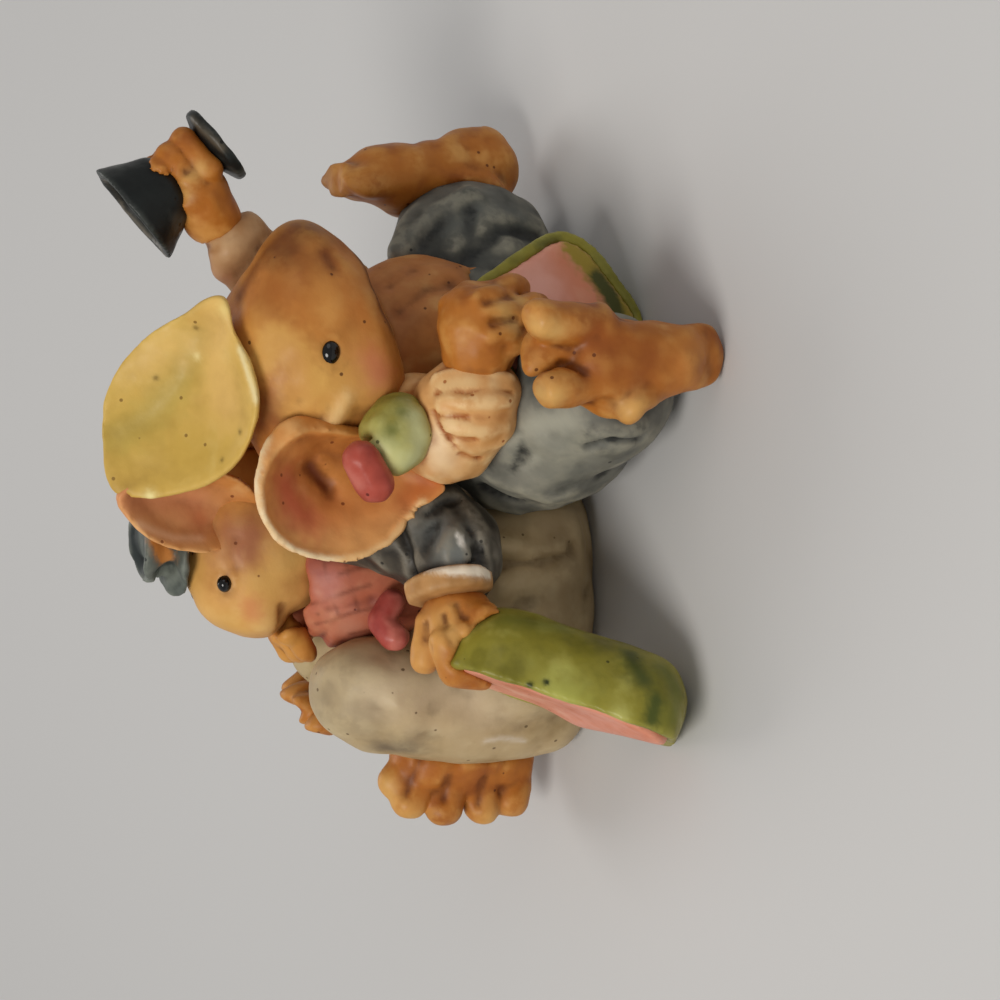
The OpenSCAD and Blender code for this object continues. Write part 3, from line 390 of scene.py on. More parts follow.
def work(tool, table):
    """Goes over a table of strokes with a tool."""
    for name, strokes in table.items():
        for stroke in strokes:
            tool(name, *stroke)
    print("strokes:", {name: len(strokes) for name, strokes in table.items()})


FOLDS = {}
FOLDS["slate_trousers"] = (
    (0.55, 0.9, (511, 483), (498, 519), (488, 545), (496, 575), (503, 590)),
    (0.8, -0.5, (502, 484), (490, 519), (480, 545)),
    (0.9, -0.35, (522, 490), (509, 522), (500, 548), (508, 572)),
    (1.1, 0.35, (530, 512), (546, 522), (566, 522)),
    (0.5, 0.7, (552, 588), (558, 611), (560, 640)),
    (0.9, -0.3, (566, 592), (571, 614), (572, 640)),
    (0.9, 0.5, (524, 604), (530, 636), (560, 660)),
    (1.1, 0.7, (745, 470), (770, 500), (765, 540)),
    (1.1, 0.5, (725, 452), (752, 470), (790, 470)),
    (1.2, -0.5, (758, 410), (785, 430), (805, 470)),
)
FOLDS["beige_trousers"] = (
    (1.0, 0.6, (434, 492), (440, 540), (450, 572)),
    (0.9, -0.5, (455, 500), (446, 530), (452, 560)),
    (1.4, 0.25, (395, 520), (400, 560), (410, 590)),
    (1.6, 0.3, (262, 420), (262, 470), (270, 520)),
    (1.6, 0.4, (300, 330), (286, 380), (290, 430)),
    (1.6, -0.4, (330, 330), (322, 390), (326, 440)),
)
FOLDS["jacket_sleeve"] = (
    (0.8, 0.8, (424, 476), (436, 484), (452, 478)),
    (0.9, -0.6, (430, 452), (448, 446), (470, 452)),
    (0.9, 0.5, (450, 424), (470, 432), (490, 440)),
    (0.9, 0.5, (462, 470), (480, 468), (496, 456)),
    (0.5, 0.7, (424, 414), (447, 409), (470, 400)),
    (0.45, 0.7, (432, 470), (450, 479), (470, 471)),
    (0.5, 0.6, (486, 428), (498, 444), (501, 456)),
)
FOLDS["plaid_shirt"] = (
    (0.8, 0.35, (352, 340), (362, 372)),
    (0.8, 0.35, (390, 330), (398, 370)),
)
FOLDS["green_knot"] = (
    (1.2, -0.8, (552, 364), (562, 367), (572, 374)),
)
FOLDS["raised_sleeve"] = (
    (0.8, 0.4, (722, 236), (738, 250), (752, 262)),
)
FOLDS["tan_shirt"] = (
    (1.2, 0.5, (690, 400), (712, 428), (716, 452)),
    (1.2, 0.4, (716, 390), (732, 412)),
)
work(press, FOLDS)
rub_smooth(PIECES["green_knot"], KNOT_RUB)

# %% [markdown]
# The sleeve of the front mouse is gathered below a slanting seam. Each pleat is a raised strip with a sharp
# groove beside it, and the cuff ends in a thick edge. A cloth solver could drape it, but strokes keep each
# pleat where the photograph has it. The rows are four strips, four grooves, the seam and the cuff.

# %% Pleats of the sleeve
PLEATS = {}
PLEATS["pleated_sleeve"] = (
    (0.75, -0.25, (556, 455), (551, 472), (556, 502)),
    (0.75, -0.25, (571, 448), (569, 475), (574, 506)),
    (0.75, -0.25, (597, 440), (595, 467), (598, 508)),
    (0.75, -0.25, (619, 434), (622, 467), (620, 508)),
    (0.3, 0.32, (546, 461), (541, 480), (548, 512)),
    (0.3, 0.32, (563, 450), (560, 475), (566, 518)),
    (0.3, 0.32, (584, 438), (582, 467), (589, 519)),
    (0.3, 0.32, (607, 436), (608, 467), (608, 512)),
    (0.3, 0.5, (520, 478), (552, 455), (588, 433)),
    (0.5, -0.35, (624, 436), (629, 462), (628, 490), (622, 512)),
)
work(press, PLEATS)

# %% [markdown]
# A likeness starts with the outline. A sculptor holds the clay against a drawing and pushes its edge in or
# out. This tool does the same: it goes round a pixel in slots, like the hours of a clock, compares the edge
# of the clay with the photograph's outline, and slides the clay square to the line of sight.
# The depth stays, so the piece still sits on what carries it. An arc with no outline near it isn't moved.

# %% Outline tool
OUTLINE_SLOTS = 120
OUTLINE_GAP = math.radians(40)
OUTLINE_BLENDS = 2
slots = np.linspace(-math.pi, math.pi, OUTLINE_SLOTS, endpoint=False)


def half_turns(angle):
    """An angle brought to within half a turn either way."""
    return (angle + math.pi) % (2 * math.pi) - math.pi


def blended(values):
    """Each slot averaged with its two neighbours."""
    return (np.roll(values, 1) + 2 * values + np.roll(values, -1)) / 4


def around(piece, centre):
    """Angle and radius of each vertex about a pixel of the picture, and the picture's scale there."""
    way = points(piece) - np.array(view_point)
    scale = PICTURE * LENS / SENSOR / -(way @ BACK)
    u = PICTURE / 2 + (way @ RIGHT) * scale - centre[0]
    v = PICTURE / 2 - (way @ UP) * scale - centre[1]
    return np.arctan2(v, u), np.hypot(u, v), scale


def growth(edge, centre, outline):
    """How much the edge grows in each slot to meet the outline."""
    ways = [(u - centre[0], v - centre[1]) for u, v in outline]
    marks = [(math.atan2(v, u), math.hypot(u, v)) for u, v in ways]
    ratio = np.ones(OUTLINE_SLOTS)
    for (a, near), (b, far) in zip(marks, marks[1:] + marks[:1]):
        turn = half_turns(b - a)
        if abs(turn) > OUTLINE_GAP:
            continue
        along = half_turns(slots - a) / turn
        inside = (along >= 0) & (along <= 1)
        ratio[inside] = (near + (far - near) * along[inside]) / edge[inside]
    for _ in range(OUTLINE_BLENDS):
        ratio = blended(ratio)
    return ratio


def fit_outline(name, centre, outline, riders=()):
    """Slides the edge of a piece until it shows an outline. Riders slide with it."""
    angle, radius, _ = around(PIECES[name], centre)
    slot = np.round((angle + math.pi) / (2 * math.pi) * OUTLINE_SLOTS).astype(int) % OUTLINE_SLOTS
    edge = np.zeros(OUTLINE_SLOTS)
    np.maximum.at(edge, slot, radius)
    edge = np.maximum(blended(edge), 1)
    ratio = growth(edge, centre, outline)
    for part in (PIECES[name], *riders):
        angle, radius, scale = around(part, centre)
        share = np.clip(radius / np.interp(angle, slots, edge, period=2 * math.pi), 0, 1) ** 2
        slide = (np.interp(angle, slots, ratio, period=2 * math.pi) - 1) * share * radius / scale
        co = points(part) + (slide * np.cos(angle))[:, None] * RIGHT
        reshape(part, co - (slide * np.sin(angle))[:, None] * UP)


print("outline slots:", OUTLINE_SLOTS)

# %% [markdown]
# The cap is a plain soft leaf inside. Smoothing all of it would melt the rim, so only the bowl is rubbed.
# A shallow valley runs along it, and its outline is pulled to a point on the right.

# %% Cap bowl
CAP_BOWL_SIZE = 7.6
CAP_BOWL_ROUNDS = 200
CAP_BOWL_FACING = 0.1
CAP_VALLEY = (2.0, 0.5, (565, 120), (585, 150), (615, 176), (660, 196))
CAP_RUB = 4
CAP_OUTLINE = (
    (505, 117), (513, 108), (530, 103), (553, 102), (590, 103), (613, 108), (633, 118), (653, 135),
    (670, 155), (683, 177), (693, 195), (703, 207), (707, 217), (698, 231), (674, 232), (653, 244),
    (627, 255), (597, 260), (567, 254), (543, 243), (523, 221), (512, 203), (505, 177), (502, 140),
)

cap = PIECES["yellow_cap"]
bowl_near = np.linalg.norm(points(cap) - traced(cap, [CAP_BOWL])[0], axis=1) < CAP_BOWL_SIZE
bowl_seen = outward(cap) @ BACK > CAP_BOWL_FACING
bowl = np.flatnonzero(bowl_near & bowl_seen)
rub_smooth(cap, CAP_BOWL_ROUNDS, bowl)
press("yellow_cap", *CAP_VALLEY)
fit_outline("yellow_cap", CAP_BOWL, CAP_OUTLINE)
rub_smooth(cap, CAP_RUB)
print("bowl vertices:", len(bowl))

# %% [markdown]
# The big ear opens towards the viewer with a thin free rim on the left, and on the right it runs back into
# the cheek. The frame's dish is a closed oval, so it is leant along the line of sight, which keeps its
# outline in the picture. A slit and a fold are then pushed through it, and its wall stays thin.

# %% Big ear
EAR_MIDDLE = (512, 330)
EAR_LEAN_RIGHT = 1.3
EAR_LEAN_LEFT = 0.2
EAR_BEND = 3.0
EAR_RUB = 3
EAR_OUTLINE = (
    (513, 254), (538, 257), (561, 265), (578, 281), (585, 298), (582, 320), (576, 345), (566, 375),
    (548, 400), (530, 416), (520, 437), (509, 460), (505, 440), (498, 425), (476, 412), (457, 391),
    (444, 368), (438, 343), (441, 315), (448, 293), (462, 274), (485, 260),
)
EAR_SLIT_AND_FOLD = (
    (1.3, 1.3, (511, 326), (522, 317), (534, 309)),
    (1.4, -0.8, (580, 290), (562, 296), (547, 306), (540, 318)),
)
EAR_RIM_EDGE = (0.5, -0.2)
EAR_RIM = (
    (561, 269), (537, 261), (513, 258), (486, 264), (464, 277), (451, 295), (444, 316), (441, 343),
    (447, 367), (460, 389), (478, 409), (498, 421),
)


def dent(name, width, way, *pixels):
    """Pushes all that lies near some pixels, front and back alike."""
    piece, co, far = near_to(name, pixels, width)
    reshape(piece, co + np.exp(-(far ** 2))[:, None] * np.array(way))


ear = PIECES["near_ear"]
co = points(ear)
across = (co - traced(ear, [EAR_MIDDLE])[0]) @ RIGHT
half_sum = (EAR_LEAN_RIGHT + EAR_LEAN_LEFT) / 2
half_step = (EAR_LEAN_RIGHT - EAR_LEAN_LEFT) / 2
lean = half_sum * across + half_step * (np.hypot(across, EAR_BEND) - EAR_BEND)
reshape(ear, co - lean[:, None] * BACK)
fit_outline("near_ear", EAR_MIDDLE, EAR_OUTLINE)
rub_smooth(ear, EAR_RUB)
for width, depth, *pixels in EAR_SLIT_AND_FOLD:
    dent("near_ear", width, -depth * BACK, *pixels)
press("near_ear", *EAR_RIM_EDGE, *EAR_RIM)
print("ear leant by mm:", round(float(lean.min()), 1), round(float(lean.max()), 1))

# %% [markdown]
# The outline of a face says which animal it is, so both heads are thumbed to the photograph's outline, and
# their eyes slide with the skin. The same goes for the feet, the plaid shirt and the raised sleeve.
# Each table has a middle pixel and then the outline.

# %% Outlines of heads, feet and sleeve
OUTLINE_RUB = 3
EYES_OF = {"brown_head": "bead_front_", "yellow_head": "bead_rear_"}
OUTLINES = {}
OUTLINES["brown_head"] = (
    (690, 320),
    (704, 229), (734, 248), (756, 261), (769, 272), (780, 295), (780, 308), (765, 332), (750, 352),
    (738, 362), (713, 372), (688, 382), (672, 393), (654, 398), (625, 407), (603, 399),
)
OUTLINES["yellow_head"] = (
    (420, 240),
    (407, 192), (390, 199), (376, 211), (366, 231), (362, 252), (364, 270), (375, 282), (387, 288),
    (391, 298), (397, 313), (412, 324), (432, 328),
)
OUTLINES["near_foot"] = (
    (635, 620),
    (682, 613), (678, 637), (676, 670), (674, 690), (611, 695), (603, 670), (589, 645), (576, 633),
    (577, 619),
)
OUTLINES["far_foot"] = (
    (825, 440),
    (779, 409), (797, 370), (804, 344), (810, 324), (821, 318), (832, 324), (837, 344), (852, 359),
    (857, 379), (854, 413), (861, 438), (874, 470), (875, 490), (861, 507),
)
OUTLINES["back_foot"] = (
    (300, 380),
    (267, 333), (270, 300), (275, 293), (285, 303), (292, 308), (295, 290), (303, 276), (312, 276),
    (320, 287), (330, 303),
)
OUTLINES["plaid_shirt"] = (
    (395, 350),
    (350, 330), (366, 321), (393, 311), (417, 309), (435, 306),
)
OUTLINES["raised_sleeve"] = (
    (745, 245),
    (713, 229), (724, 214), (739, 209), (758, 210), (789, 243), (787, 254), (769, 271),
)
for name, (middle, *outline) in OUTLINES.items():
    riders = [p for p in PIECES.values() if name in EYES_OF and p.name.startswith(EYES_OF[name])]
    fit_outline(name, middle, outline, riders)
    rub_smooth(PIECES[name], OUTLINE_RUB)
print("fitted outlines:", ", ".join(OUTLINES))

# %% [markdown]
# A face lives from a few small marks: lids that hug the eyes, a mouth line, a cheek fold.
# They could be painted only, but a real groove or ridge of half a millimetre also catches light and wash.

# %% Marks of the faces
FACE_MARKS = {}
FACE_MARKS["brown_head"] = (
    (0.45, -0.32, (635, 329), (641, 322), (649, 319), (658, 321), (664, 328)),
    (0.45, -0.25, (637, 338), (646, 343), (656, 341), (663, 335)),
    (0.6, 0.6, (671, 394), (693, 385), (718, 375), (745, 361), (764, 340)),
    (0.9, -0.4, (576, 331), (588, 341), (601, 346)),
    (1.2, 0.25, (600, 298), (616, 293), (634, 296)),
    (0.9, 0.25, (735, 333), (744, 327)),
)
FACE_MARKS["yellow_head"] = (
    (0.45, -0.3, (409, 223), (413, 218), (419, 217), (425, 221)),
    (0.4, -0.22, (410, 231), (416, 235), (423, 233)),
    (0.9, 0.3, (432, 236), (446, 232), (460, 236)),
    (0.5, 0.35, (370, 276), (380, 281), (394, 282)),
)
work(press, FACE_MARKS)

# %% [markdown]
# A few spots are nudged with the ball of the thumb: the heel, the toes, a cheek of melon. A lattice could
# do it too, but a push is easier to place and to take back. Each has a width, a way in mm and its pixels.

# %% Nudges
NUDGES = {}
NUDGES["chin_paw"] = (
    (2.6, (1.2, -0.8, 0.5), (346, 284), (358, 290)),
)
NUDGES["near_paw"] = (
    (2.4, (-1.4, 0, 0), (724, 462), (728, 484)),
)
NUDGES["near_foot"] = (
    (3.2, (0, 2.6, 0.3), (636, 728), (660, 726)),
    (1.4, (-1.2, 0, 0.8), (640, 536)),
    (1.6, (0, 0, -0.9), (600, 534), (608, 532)),
    (1.6, (0, 0, -0.7), (668, 526), (676, 525)),
    (1.4, (0.9, 0, 0), (586, 596), (590, 606)),
)
NUDGES["far_foot"] = (
    (1.0, (-1.0, 0, 0), (815, 331), (813, 342)),
    (1.0, (1.0, 0, 0), (824, 331), (828, 342)),
)
NUDGES["rear_flesh"] = (
    (3.0, (-0.9, 0, 0), (300, 500), (290, 540), (282, 580), (274, 620), (266, 660)),
)
work(dent, NUDGES)

# %% [markdown]
# Fingers and toes are parted with a narrow tool: each finger is a rounded ridge, and the groove between two
# of them is thin. Separate fingers would look jointed, and the casting has them in one with the paw.

# %% Fingers and toes
FINGER = (0.9, -0.45)
FINGER_RUB = 3
FINGERS = {
    "near_paw": (((662, 490), (666, 514)), ((689, 488), (693, 512)), ((703, 476), (710, 494))),
    "goblet_paw": (((806, 176), (820, 184)), ((826, 166), (838, 178))),
}
PARTING = (0.55, 0.3)
GROOVES = {}
GROOVES["near_paw"] = (
    ((677, 494), (680, 506), (681, 518)),
    ((697, 486), (701, 498), (704, 510)),
)
GROOVES["side_foot"] = (
    ((205, 406), (222, 412), (241, 420)),
    ((200, 444), (222, 448), (246, 454)),
    ((196, 478), (218, 484), (241, 488)),
)
GROOVES["slice_paw"] = (
    ((352, 430), (362, 424), (376, 424)),
    ((358, 452), (368, 446), (384, 444)),
    ((376, 472), (384, 462), (396, 456)),
)
GROOVES["goblet_paw"] = (
    ((800, 172), (816, 176), (828, 186)),
    ((812, 164), (828, 168), (840, 178)),
)
GROOVES["near_foot"] = (
    ((636, 560), (632, 574), (628, 584)),
)
for name, lines in FINGERS.items():
    for pixels in lines:
        press(name, *FINGER, *pixels)
    rub_smooth(PIECES[name], FINGER_RUB)
for name, lines in GROOVES.items():
    for pixels in lines:
        press(name, *PARTING, *pixels)
print("grooves:", sum(len(lines) for lines in GROOVES.values()))

# %% [markdown]
# The hat was squashed while the clay was wet: its left side is pushed in, the brim bends down at the front,
# and the crown leans. So the turned piece gets the same pushes, and then the photograph's outline.

# %% Squashed hat
HAT_MIDDLE = (445, 165)
HAT_OUTLINE = (
    (477, 129), (457, 129), (437, 135), (418, 145), (420, 159), (404, 173), (407, 185), (423, 188),
    (440, 189), (453, 188),
)
HAT_DENTS = (
    (1.6, (1.3, 0, 0), (421, 158), (424, 168)),
    (2.2, (0, 0, -1.9), (421, 131), (430, 127)),
    (1.3, (0.2, 0, -0.7), (404, 172), (412, 180)),
    (1.5, (0, -0.3, 0.5), (440, 184), (452, 180)),
)
for push in HAT_DENTS:
    dent("slate_hat", *push)
fit_outline("slate_hat", HAT_MIDDLE, HAT_OUTLINE)
print("hat dents:", len(HAT_DENTS))

# %% [markdown]
# Nothing that hands have made is quite even. A soft noise moves each skin by a tenth to a third of a
# millimetre. A bump in the paint could fake it, but only real shape also shows in the outline.
# Each row gives the size and the height of the lumps.

# %% Hand modelling over all
LUMP_STEPS = (7.3, 3.1, 5.7)
UNEVEN = {
    "slate_trousers": (3.2, 0.35),
    "beige_trousers": (3.6, 0.35),
    "jacket_sleeve": (2.4, 0.35),
    "far_jacket_sleeve": (2.4, 0.3),
    "grey_jacket": (2.4, 0.25),
    "tan_shirt": (4.0, 0.12),
    "brown_head": (4.0, 0.25),
    "yellow_head": (3.4, 0.22),
    "yellow_cap": (3.0, 0.12),
    "near_ear": (2.2, 0.14),
    "near_foot": (2.4, 0.22),
    "far_foot": (3.0, 0.25),
    "side_foot": (2.2, 0.2),
    "back_foot": (2.2, 0.2),
    "near_paw": (1.8, 0.16),
    "goblet_paw": (1.6, 0.12),
    "slice_paw": (1.8, 0.14),
    "chin_paw": (1.8, 0.14),
    "rear_rind": (3.0, 0.2),
    "front_rind": (3.0, 0.18),
    "goblet_cup": (2.0, 0.12),
    "slate_hat": (2.0, 0.14),
    "raised_sleeve": (2.2, 0.2),
    "green_knot": (2.0, 0.2),
}
for seed, (name, (size, height)) in enumerate(UNEVEN.items(), 1):
    piece = PIECES[name]
    co = points(piece)
    move = Vector([seed * step for step in LUMP_STEPS])
    amount = np.array([noise.noise(Vector(p) / size + move) for p in co])
    reshape(piece, co + outward(piece) * (height * amount)[:, None])
print("uneven pieces:", len(UNEVEN))

# %% [markdown]
# Paint on such a figure goes on in layers: a base colour with soft patches, dabs of blush and highlight,
# a thin brown wash that stays in every crease, and a dry brush that only touches what stands proud.
# The last two can be measured: a crease lies below its own smoothed skin, or close to a neighbour.
# The same dark layer also carries painted shade: it darkens broad hollows and a wide band round every
# place where another piece comes close, and there the dry brush is held back too.

# %% Wash, painted shade and dry brush
WASH_ROUNDS = 14
WASH_DEPTH = 0.10
BROAD_ROUNDS = 70
BROAD_DEPTH = 0.45
BROAD_SHARE = 0.4
SEAM_WIDTH = 0.5
SEAM_SHARE = 0.8
SHADE_WIDTH = 1.7
SHADE_SHARE = 0.3
NO_NEIGHBOUR = 9.0
RUB_FLOOR = 0.3


def softened(piece, rounds):
    """The skin of a piece after some rounds of averaging along its edges."""
    ends = np.empty(len(piece.data.edges) * 2, np.int32)
    piece.data.edges.foreach_get("vertices", ends)
    a = ends[0::2]
    b = ends[1::2]
    co = points(piece)
    count = len(co)
    share = np.maximum(np.bincount(a, minlength=count) + np.bincount(b, minlength=count), 1)
    for _ in range(rounds):
        mean = np.empty_like(co)
        for axis in range(3):
            mean[:, axis] = np.bincount(a, co[b, axis], count) + np.bincount(b, co[a, axis], count)
        co = (1 - THUMB) * co + THUMB * mean / share[:, None]
    return co


def sunk(piece, rounds):
    """How far each vertex lies below its own softened skin."""
    return np.einsum("ij,ij->i", softened(piece, rounds) - points(piece), outward(piece))


def seams(piece, trees, boxes):
    """How close each vertex lies to another piece: a tight line and a wide shade, from nought to one."""
    co = points(piece)
    near = np.full(len(co), NO_NEIGHBOUR)
    for other, tree in trees.items():
        if other == piece.name:
            continue
        low, high = boxes[other]
        inside = np.all((co > low - 2 * SHADE_WIDTH) & (co < high + 2 * SHADE_WIDTH), axis=1)
        for i in np.flatnonzero(inside):
            hit = tree.find_nearest(Vector(co[i]), min(near[i], 2 * SHADE_WIDTH))
            if hit[0] is not None:
                near[i] = min(near[i], hit[3])
    return np.exp(-((near / SEAM_WIDTH) ** 2)), np.exp(-((near / SHADE_WIDTH) ** 2))


def store(piece, name, values):
    """Keeps one number a vertex under a name that a paint can read."""
    layer = piece.data.attributes.new(name, "FLOAT", "POINT")
    layer.data.foreach_set("value", np.clip(values, 0, 1).astype(np.float32))


trees = {name: tree_of(piece) for name, piece in PIECES.items()}
boxes = {name: (points(piece).min(0), points(piece).max(0)) for name, piece in PIECES.items()}
modelled = [piece for name, piece in PIECES.items() if not name.startswith("bead_")]
for piece in modelled:
    crease = sunk(piece, WASH_ROUNDS) / WASH_DEPTH
    line, shade = seams(piece, trees, boxes)
    broad = sunk(piece, BROAD_ROUNDS) / BROAD_DEPTH
    # wash in creases and joints, plus painted shade in broad hollows and in a wide band near other pieces
    store(piece, "wash", crease + BROAD_SHARE * broad + SEAM_SHARE * line + SHADE_SHARE * shade)
    # less dry brush where the painted shade near other pieces lies
    store(piece, "rub", -crease - RUB_FLOOR - shade)
print("washed pieces:", len(modelled))

# %% [markdown]
# Dabs of thinned colour give the blush on the cheeks, the pale finger tips and the worn spots. A painted
# image would need the skin unfolded first, so the colour is kept with the vertices instead.
# A dab has its size in millimetres, its colour, its cover and its pixels, and its edge is a little uneven.
# A cover above one makes that edge hard. Every piece starts with a clear layer.

# %% Paint tools
HONEY = "d9a858"
UMBER = "6a3a1a"
DAB_REACH = 2.2
DAB_GRAIN = 0.4
DAB_ROUGHNESS = 0.35
THINNEST = 1e-6


def colour(code):
    """A paint from its six letter code, as the renderer wants it."""
    parts = [int(code[i:i + 2], 16) / 255 for i in (0, 2, 4)]
    return [p / 12.92 if p <= 0.04045 else ((p + 0.055) / 1.055) ** 2.4 for p in parts]


def dab(name, size, code, cover, *pixels):
    """Lays a soft dab or stroke of colour over what is already on a piece."""
    piece, co, far = near_to(name, pixels, size)
    layer = piece.data.attributes["paint"]
    under = np.empty(len(piece.data.vertices) * 4, np.float32)
    layer.data.foreach_get("color", under)
    under = under.reshape(-1, 4).astype(float)
    close = np.flatnonzero(far < DAB_REACH)
    rough = np.array([noise.noise(Vector(co[i]) / (DAB_GRAIN * size)) for i in close])
    amount = np.zeros(len(co))
    amount[close] = np.minimum(cover * np.exp(-((far[close] * (1 + DAB_ROUGHNESS * rough)) ** 2)), 1)
    total = amount + under[:, 3] * (1 - amount)
    kept = under[:, :3] * (under[:, 3] * (1 - amount))[:, None]
    fresh = np.array(colour(code))[None, :] * amount[:, None]
    under[:, :3] = (fresh + kept) / np.maximum(total, THINNEST)[:, None]
    under[:, 3] = total
    layer.data.foreach_set("color", under.astype(np.float32).ravel())


for piece in PIECES.values():
    clear = piece.data.attributes.new("paint", "FLOAT_COLOR", "POINT")
    clear.data.foreach_set("color", np.zeros(len(piece.data.vertices) * 4, np.float32))
print("honey as the renderer has it:", [round(c, 3) for c in colour(HONEY)])

# %% [markdown]
# The faces have pale honey patches and rosy cheeks. On the front head painted shade darkens the snout,
# the nostril, the upper right and the skin below the cap. The ears are reddish inside and have a cream
# rim; pale peach in their bowls is painted light, and the dark in the big ear's slit is painted shade.
# Noise alone can't know where a cheek is, so these dabs are placed one by one.

# %% Dabs on heads and ears
BLUSH = "c8705a"
HEAD_DABS = {}
HEAD_DABS["brown_head"] = (
    (1.7, "cf9c50", 1.7, (640, 264), (660, 272), (646, 294)),
    (1.9, "d8a456", 1.5, (594, 286), (610, 298), (622, 312)),
    (1.6, "d49c50", 0.6, (672, 252), (690, 262)),
    (3.6, HONEY, 0.6, (600, 330), (610, 345)),
    (2.4, "dfa860", 0.5, (601, 366), (612, 372)),
    (2.0, "d09a50", 0.6, (640, 356), (664, 356)),
    (0.8, "ecc88c", 0.75, (574, 332), (590, 341), (601, 347)),
    (1.8, BLUSH, 0.55, (626, 380), (640, 374)),
    # painted shade in the nostril, and on the snout in the next dab
    (1.1, "6e3616", 0.85, (735, 333), (746, 326)),
    (2.6, "5f3014", 0.75, (748, 286), (764, 294), (774, 312)),
    (0.75, UMBER, 1.1, (671, 391), (693, 380), (718, 370), (745, 356), (764, 336)),
    (3.0, "b4682c", 0.45, (680, 360), (720, 350)),
    # painted shade on the skin below the cap, and on the upper right of the head in the next dab
    (1.6, "7c3f22", 0.7, (584, 272), (600, 268)),
    (2.4, "9c5a24", 0.75, (700, 266), (716, 282), (722, 306)),
    (1.8, "cf9048", 0.6, (690, 330), (712, 326)),
    # painted shade along the top and right edge of the head
    (0.9, "6c3514", 0.7, (704, 240), (734, 256), (756, 274), (772, 296)),
    (2.0, "a86428", 0.4, (612, 292), (640, 294)),
)
HEAD_DABS["yellow_head"] = (
    (2.2, "a06248", 0.75, (452, 240), (466, 232), (470, 248)),
    (1.6, "b07848", 0.6, (448, 214), (468, 206)),
    (0.6, UMBER, 0.45, (407, 224), (409, 230)),
    (2.4, HONEY, 0.6, (376, 230), (380, 250), (400, 262)),
    (2.2, "dcae62", 0.7, (420, 262), (432, 276), (440, 292)),
    (2.4, HONEY, 0.5, (400, 196), (430, 192)),
    (1.3, "c8704c", 0.6, (386, 253), (394, 252)),
    (1.4, "a2644c", 0.6, (444, 250), (462, 252)),
    (0.5, UMBER, 0.6, (370, 277), (380, 282), (394, 283)),
)
HEAD_DABS["near_ear"] = (
    # painted light: pale peach lifting the shade on the left part of the bowl
    (3.4, "e6a866", 1.0, (470, 290), (456, 330), (462, 370), (484, 400)),
    (3.0, "dc9a58", 0.8, (490, 268), (530, 264), (560, 274)),
    (2.4, "bf5a40", 0.85, (484, 306), (496, 292), (514, 286)),
    (1.6, "c0622e", 0.7, (500, 404), (514, 424), (520, 436)),
    (1.1, "c4843c", 1.4, (570, 262), (582, 284), (584, 312), (576, 340)),
    (2.6, "c87a40", 0.7, (490, 340), (496, 370)),
    # painted shade in the slit of the ear
    (0.9, "5e2414", 0.85, (513, 324), (522, 317), (533, 310)),
    (0.42, "f2dcb4", 1.2, (561, 267), (537, 259), (513, 256), (485, 262), (463, 276)),
    (0.42, "f2dcb4", 1.2, (463, 276), (450, 295), (442, 316), (439, 343)),
    (0.42, "e8c08a", 1.0, (439, 343), (445, 368), (458, 390), (477, 410), (498, 423)),
)
HEAD_DABS["standing_ear"] = (
    # painted light: pale peach lifting the cap's shadow inside the standing ear
    (3.4, "dfa46e", 0.9, (486, 140), (476, 170), (480, 200)),
    (2.0, "d28a60", 0.7, (500, 130), (500, 160), (500, 190)),
    (0.5, "f0c298", 0.8, (496, 116), (476, 140), (462, 176), (462, 200)),
    (1.4, "b8603c", 0.6, (480, 200), (476, 220)),
)
work(dab, HEAD_DABS)

# %% [markdown]
# The clothes are worn: pale where they were rubbed, and darker in places. On the slate trousers the dark
# dabs are painted shade, in the folds and over the far leg. The shirt's plaid is a few thin lines in two
# directions. A woven pattern would be too even, so they are drawn one by one.

# %% Dabs on trousers, shirt and sleeves
PLAID_LINE = (0.26, "66301f")
CLOTH_DABS = {}
CLOTH_DABS["beige_trousers"] = (
    (1.8, "4a4038", 0.65, (252, 386), (252, 408)),
    (4.0, "c6b296", 0.6, (310, 380), (316, 440), (300, 480)),
    (2.4, "857964", 0.45, (290, 320), (276, 360)),
    (0.35, "e6ded4", 0.4, (259, 486), (262, 502), (259, 524)),
    (3.4, "8d8068", 0.5, (318, 320), (330, 340)),
    (3.6, "7d684c", 0.5, (404, 566), (440, 572), (470, 560)),
    (3.0, "a8966e", 0.6, (300, 300), (330, 306)),
)
CLOTH_DABS["slate_trousers"] = (
    (3.0, "9a998a", 0.5, (548, 540), (560, 570)),
    (1.6, "aaa898", 0.8, (562, 506), (576, 536), (580, 566)),
    (0.8, "b0ae9e", 0.7, (536, 520), (542, 536)),
    # painted shade in the folds of the near leg, in this dab and the two below
    (0.9, "4a4c48", 0.7, (520, 562), (530, 580)),
    (0.5, "3a3c3a", 0.8, (566, 586), (572, 592)),
    (0.4, "3a3c3a", 0.8, (548, 600), (552, 604)),
    # painted shade over the far leg, in this dab and the three below
    (1.4, "3c3e3c", 0.6, (735, 490), (745, 470)),
    (1.2, "3c3e3c", 0.5, (760, 520), (768, 505)),
    (1.6, "474842", 0.5, (720, 440), (740, 430)),
    (4.6, "2b2d2b", 0.75, (744, 440), (772, 470), (768, 520)),
    (2.0, "8f8d80", 0.5, (512, 500), (524, 540), (540, 580)),
    (1.2, "6a6c66", 0.5, (770, 450), (790, 480), (786, 520)),
)
